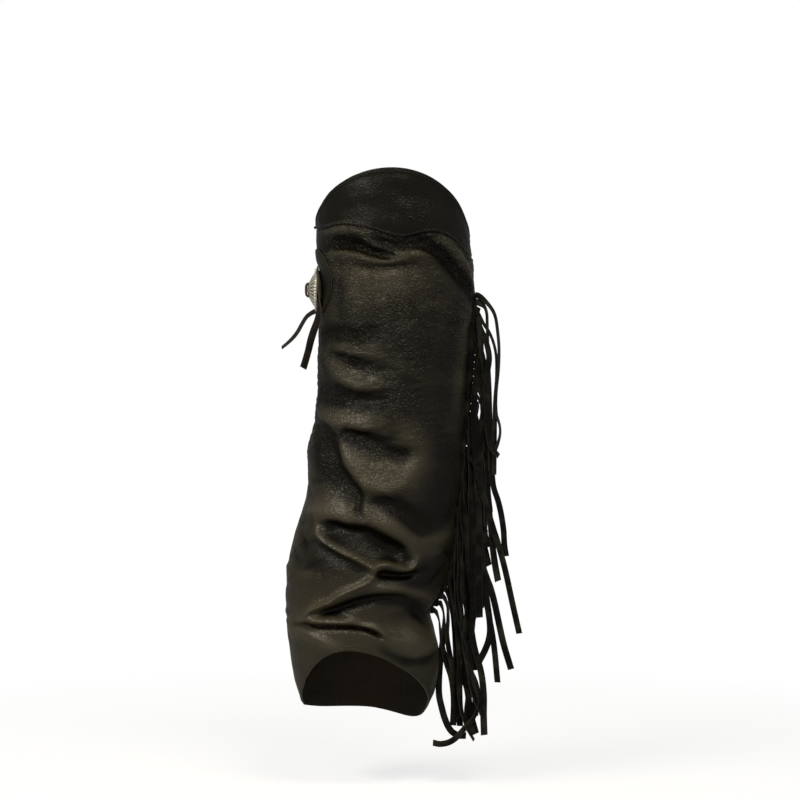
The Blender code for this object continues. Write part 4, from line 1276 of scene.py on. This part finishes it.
# Strands laid one by one. The number counts the roots from the top; each row is x, y, z and the way
# that the strand's face looks, and the strand starts at its own root
laidStrands = {
    0: ((88, 0, -7.5, 30), (94, -0.5, -13, 55), (99.4, -1, -20, 60), (102.6, -1, -28, 62),
        (104.4, -1, -40, 62), (105.8, -1, -55, 64), (106, 0, -68, 66), (105.2, 0, -82, 64),
        (103.4, 1, -98, 60), (102.6, 1, -112, 58), (103.6, 1, -125, 66), (106.4, 1, -134, 70),
        (107.2, 1, -143, 70), (105, 0, -153, 66), (101, -1, -163, 60)),
    1: ((87, 0, -13.5, 40), (91.6, 0, -17, 62), (93.8, 0, -24, 66), (94.2, 0.5, -34, 66),
        (94.6, 1, -48, 64), (95.4, 1, -70, 60), (96.5, 0, -100, 50), (97, -1, -140, 40), (97, -1, -180, 50)),
    2: ((84.5, 0, -22, 45), (88, 1, -28.5, 62), (92, 1, -36, 66), (95.6, 1, -41, 66), (99.8, 1, -50.5, 66),
        (102.6, 1, -61.5, 66), (103.6, 1, -72, 64), (103.5, 0, -90, 60), (102, -1, -115, 45),
        (101.5, -2, -145, 40), (101, -2, -185, 40)),
    3: ((86, -2, -32, 25), (87.5, -4, -53, 20), (87.5, -4, -67, 20), (84.6, -4.5, -82, 15),
        (82, -5, -97, 15), (81, -5, -114, 10), (80.5, -5, -133, 10), (82.5, -5, -160, 20),
        (86, -5, -190, 30)),
    4: ((88, -1, -40, 30), (93, -3, -52, 30), (96, -3.5, -67, 25), (94.4, -3.5, -81, 20),
        (92.2, -4, -100, 15), (90.8, -4, -119, 15), (88.6, -4, -134, 10), (86, -4, -160, 10),
        (84, -4, -190, 15), (84, -3, -205, 20)),
    6: ((84, -1, -49, 45), (90, -3, -70, 35), (93.5, -4, -105, 25), (94.5, -5, -135, 20),
        (96.8, -5.5, -153, 30), (101, -5.5, -161, 50), (105.5, -5, -166, 60)),
    12: ((84, -1, -94, 40), (92, -2, -112, 50), (97, -2, -140, 40), (98.5, -2, -170, 30),
        (100.2, -2, -195, 20), (105, -3, -211, 10), (108, -3, -224, 8), (110.4, -3, -240, 5),
        (111.2, -3, -254, 5), (113, -3, -266, 5)),
    16: ((82, -1, -125, 40), (92, -1, -165, 45), (96, -1, -215, 35), (98.5, -1, -245, 25),
        (101, -1, -268, 15), (105, -1, -291, 10)),
    20: ((80, 0, -150, 35), (84, -3, -190, 15), (85.5, -5.8, -232, 5), (86, -5.8, -290, 0),
        (86.2, -5.8, -327, 0)),
    21: ((77, -1, -158, 35), (79, -3, -200, 15), (80.8, -5.4, -240, 5), (81.4, -5.4, -295, 0),
        (81.8, -5.4, -327.5, 0)),
    23: ((76, -2, -167, 30), (82, -5, -173, 30), (86.2, -5.6, -185, 15), (89, -5.6, -201.7, 8),
        (94.8, -5.6, -221, 5), (100.6, -5.6, -240, 5), (105.6, -5.6, -256, 3), (112, -5.4, -280, 0),
        (119, -5, -312, 0), (126, -4.6, -343, -3)),
    27: ((76, 1, -202, 40), (84, 0, -240, 30), (90, 0, -285, 20), (94.5, 0, -315, 15), (97, 0, -335, 10),
        (96.4, 0, -347, 5), (92.5, 0, -359, 5), (85.8, 0, -372, 5)),
    29: ((74, 1, -215, 40), (82, 0, -245, 25), (88.5, -1, -272, 15), (93.4, -2, -287, 8),
        (97.5, -2, -298, 3), (101.5, -2, -313, 0), (106, -2, -334, 0), (110.8, -2, -355, 0),
        (118, -2, -379, 0)),
    31: ((73, 0, -228, 40), (82, -1, -262, 25), (88.5, -2, -290, 12), (93, -3, -310, 8), (96, -3, -327, 5),
        (99, -3, -343, 0), (101.6, -3, -362, 0), (104.4, -3, -392, 0)),
    37: ((66, 2, -272, 40), (75, 2, -315, 35), (81, 1, -355, 30), (88, 0, -382, 20), (90.6, 0, -404, 15),
        (90.6, 0, -425, 10), (91.2, 0, -445, 5)),
    40: ((58, -2, -292, 40), (63, -4, -325, 25), (66.5, -4.5, -365, 20), (66.5, -4.5, -400, 30),
        (68.5, -4.5, -420, 60), (73, -4.5, -436, 75), (76.8, -4.5, -442.8, 75), (80.8, -4.5, -449.4, 75)),
    41: ((57, 3, -296, 45), (63, 3, -325, 40), (72, 3, -360, 40), (80, 2, -388, 35), (85, 0, -405, 40),
        (84.6, -2, -418, 60), (80, -4, -428, 50), (73.6, -5, -435, 30), (63.7, -5, -446.2, 15),
        (56, -5, -451.4, 5), (47, -5, -453.2, 0), (39.8, -5, -451.8, 0)),
    42: ((54, 0, -301, 50), (58, 0, -315, 60), (61, 0, -340, 50), (63, 0, -370, 30), (64.5, 0, -400, 20),
        (66, 0, -425, 15), (67, 0, -436, 10)),
    43: ((51, -1, -307, 50), (54.4, -1, -316, 72), (55, -1, -330, 60), (54, -1, -345, 45),
        (57, -1, -366, 35), (61.5, -1, -390, 25), (63, -1, -412, 15), (62, -1, -430, 15)),
    44: ((47.2, -1, -313, 50), (50.4, -2, -322, 78), (50.8, -2, -334, 60), (49.6, -2, -350, 30),
        (47.4, -2, -369, 15), (46, -2, -388, 10), (46, -2, -404, 5), (48.6, -2, -417, 0),
        (52.4, -2, -430, -5), (58, -2, -440.5, -8), (65.6, -2, -445, -8), (73, -2, -445.2, -8)),
    45: ((42.4, -1, -321, 50), (45.8, -2, -329, 80), (47.2, -2, -340, 72), (49.6, -2, -356, 50),
        (53.6, -2, -373, 35), (58, -2, -386, 25), (60.4, -2, -402, 20), (60.8, -2, -418, 15),
        (59.9, -2, -435, 15)),
}


def headerEdge(z):
    return outerSide(z) + headerReach(z)


def looseStrand(number, draw):
    # a strand that hangs in the bundle: the higher its root, the further out it lies
    count, spread = fringe["points"], fringe["lengthSpread"]
    root = fringe["firstRoot"] - fringe["pitch"] * number
    length = fringe["length"] + draw.uniform(-spread, spread)
    end = max(root - length, fringe["lowest"] + draw.uniform(-6, 8))
    level = np.linspace(root - 6, end, count)
    low = np.maximum(level, fringe["bundleFrom"])
    high = np.minimum(fringe["bundleTo"], level + 185)
    share = np.clip((root - low) / np.maximum(high - low, 1), 0, 1) ** 1.15
    x = bundleInner(level) + 2.5 + (bundleOuter(level) - bundleInner(level) - 5) * share
    x = x + draw.normal(0, 1.3, count) * np.linspace(0.2, 1, count)
    depth = np.clip(draw.normal(0, 2.4) + np.cumsum(draw.normal(0, 0.8, count)), *fringe["depth"])
    depth *= np.clip(np.linspace(0.15, 1.6, count), 0, 1)
    facing = draw.uniform(*fringe["facing"]) + np.cumsum(draw.normal(0, 9, count))
    facing[0] = 35 + 0.3 * facing[0]
    past = number - fringe["crossing"][0]
    crosses = fringe["crossing"][0] <= number <= fringe["crossing"][1]
    if crosses:
        # these lie edge on beside the leg, and hang further out
        x[0], facing[0] = 89.4 - 0.6 * past, 72
        beside = (level > fringe["crossingTo"]) & (level < root - 10)
        x = np.where(beside, np.maximum(x, 94.2 - 0.3 * past), x)
    rows = list(zip(x, depth, level, np.clip(facing, -20, 110)))
    if crosses:
        rows.insert(0, (85.0 - 0.5 * past, 0.2, root - 2.6, 24))
    return rows


def makeFringe():
    draw = np.random.default_rng(fringe["seed"])
    level = np.linspace(*fringe["header"], 90)
    outer, inner = headerEdge(level), outerSide(level) - hideThickness
    spine = np.stack([(outer + inner) / 2, np.zeros_like(level), level, np.zeros_like(level)], -1)
    straps = [strapOn(spine, outer - inner, fringe["headerThick"], slant=0.1)]
    for number in range(fringe["count"]):
        root = fringe["firstRoot"] - fringe["pitch"] * number
        loose = looseStrand(number, draw)
        slant, width, shift = draw.normal(0, 0.18), draw.normal(0, 0.25), draw.uniform(0, 300)
        start = [(headerEdge(root) - 1.2, 0.0, root, 0.0), (headerEdge(root) + 1.2, 0.0, root - 0.4, 8.0)]
        line = wayPoints(start + list(laidStrands.get(number, loose)), 3.0)
        straps.append(strapOn(line, fringe["strandWidth"] + width, fringe["strandThick"],
                              slant=slant, shift=shift))
    return addStraps("fringe_leather", straps, (strandLeather, strandLeather, strandEdge))


strandLeather = makeStrapLeather("strandLeather", {
    "dark": (0.0012, 0.0011, 0.0008), "light": (0.0160, 0.0150, 0.0108), "roughness": 0.6,
    "mottle": 45, "shades": (0.46, 0.72), "nap": (900, 900, 1), "napDetail": 4, "napStrength": 0.8})
strandEdge = makeCutEdge("strandEdge", (0.0150, 0.0132, 0.0096))
fringeLeather = makeFringe()
print("fringe ready, with", len(fringeLeather.data.polygons), "faces")


# Stitches

stitches = {
    "sizes": {"Pitch": 4.2 * mm, "Length": 3.0 * mm, "Thick": 0.75 * mm},
    "thread": (0.0045, 0.0040, 0.0034), "sunk": 0.12, "inset": 3.2, "besideSeam": 3.0,
    "hemInset": 4, "tabInset": 3.4, "tabEnd": 4,
    "closingInset": 2.6,        # degrees
    "knot": {"radius": 1.7, "angle": -91, "above": 2.0, "out": 0.9},    # at the yoke seam's inner end
}


threadBlack = newFinish("threadBlack", stitches["thread"], 0.6, 0.2)[0]


def stitchRow(values):
    # short lengths of thread laid one behind the other along the drawn lines
    tree, given = startTree("stitchRow", values)
    line = addNode(tree, "GeometryNodeMeshToCurve", {0: given["Geometry"]})
    spots = addNode(tree, "GeometryNodeCurveToPoints",
                    {"Curve": line.outputs[0], "Length": given["Pitch"]}, mode="LENGTH").outputs
    thread = addNode(tree, "GeometryNodeMeshUVSphere", {"Segments": 8, "Rings": 5, "Radius": 0.5})
    shape = addNode(tree, "ShaderNodeCombineXYZ",
                    {"X": given["Thick"], "Y": given["Thick"], "Z": given["Length"]})
    place = addNode(tree, "GeometryNodeInstanceOnPoints",
                    {"Points": spots["Points"], "Rotation": spots["Rotation"],
                     "Instance": thread.outputs["Mesh"], "Scale": shape.outputs[0]})
    closeTree(tree, place.outputs["Instances"], threadBlack)
    return tree


def makeStitches(name, lines):
    # each line: angles, heights and how far out the leather stands there
    points, edges = [], []
    for angles, heights, out in lines:
        first = len(points)
        points.extend(legPoint(angles, heights, out - stitches["sunk"]).tolist())
        edges.extend((first + n, first + n + 1) for n in range(len(points) - first - 1))
    data = bpy.data.meshes.new(name)
    data.from_pydata(points, edges, [])
    made = addObject(name, data)
    runTree(made, stitchRow(stitches["sizes"]), stitches["sizes"])
    made.data.shade_smooth()
    settle(made, "leather")
    print(name, "has", len(made.data.polygons), "faces")


def stitchLines():
    # below the open top, on both sides of the yoke's seam and of the closing edge, and round the hem and tab
    front, back = np.linspace(-93, 86, 150), np.linspace(94, 257, 130)
    closing = np.linspace(-392, 60, 230)
    hem = np.linspace(-60, 86, 130)
    turns = np.radians(np.linspace(-90, 90, 60))
    half, tip = closingTab["halfHeight"] - stitches["tabInset"], closingTab["roundFrom"]
    straight = np.linspace(closingTab["back"] + stitches["tabEnd"], tip, 30)
    along = np.concatenate([straight, tip + half * np.cos(turns[::-1])[1:-1], straight[::-1]])
    level = np.concatenate([np.full(30, half), half * np.sin(turns[::-1])[1:-1], np.full(30, -half)])
    band = panels["bandHeight"]
    inset, beside, aside = stitches["inset"], stitches["besideSeam"], stitches["closingInset"]
    rows = [(front, topEdge(front) - inset, band), (back, topEdge(back) - inset, band),
            (front, yokeSeam(front) + beside, 0.0), (front, yokeSeam(front) - beside, 0.0),
            (closingEdge(closing) + aside, closing, 0.0), (closingEdge(closing) + 360 - aside, closing, 0.0),
            (hem, hemLine(hem) + stitches["hemInset"], 0.0)]
    tab = (closingTab["angle"] + np.degrees(along / arcRadius), closingTab["height"] + level,
           closingTab["gap"] + closingTab["thick"])
    return rows + [tab]


makeStitches("seam_stitches", stitchLines())


def makeSeamKnot():
    size = stitches["knot"]
    bpy.ops.mesh.primitive_uv_sphere_add(segments=20, ring_count=12, radius=size["radius"] * mm)
    knot = bpy.context.object
    knot.name = "seam_knot"
    place = Vector(legPoint(size["angle"], yokeSeam(size["angle"]) + size["above"], size["out"]))
    knot.data.transform(Matrix.Translation(place) @ Matrix.Diagonal((1.0, 1.3, 0.9, 1)))
    knot.data.materials.append(threadBlack)
    knot.data.shade_smooth()
    settle(knot, "leather")


makeSeamKnot()


# Each piece hung on the root body, in place of its nodes

for piece, slot, *nodes in (
        (frontLeather, "leather", "front_panel"), (backLeather, "leather", "back_panel"),
        (yokeLeather, "leather", "knee_yoke"), (tabLeather, "leather", "closure_tab"),
        (rosetteLeather, "leather", "concho_rosette"), (conchoMetal, "concho_metal", "concho"),
        (laceBridge, "lace", "lace_bridge"), (fringeLeather, "fringe", "fringe_header", "fringe")):
    settle(piece, slot, *nodes)


def leatherArea(piece):
    # the outer face only, in square metres
    return sum(face.area for face in piece.data.polygons if face.material_index == 0)


for piece in (frontLeather, backLeather, yokeLeather, tabLeather, rosetteLeather, fringeLeather):
    print(piece.name, "outer face", round(leatherArea(piece), 4), "m2")
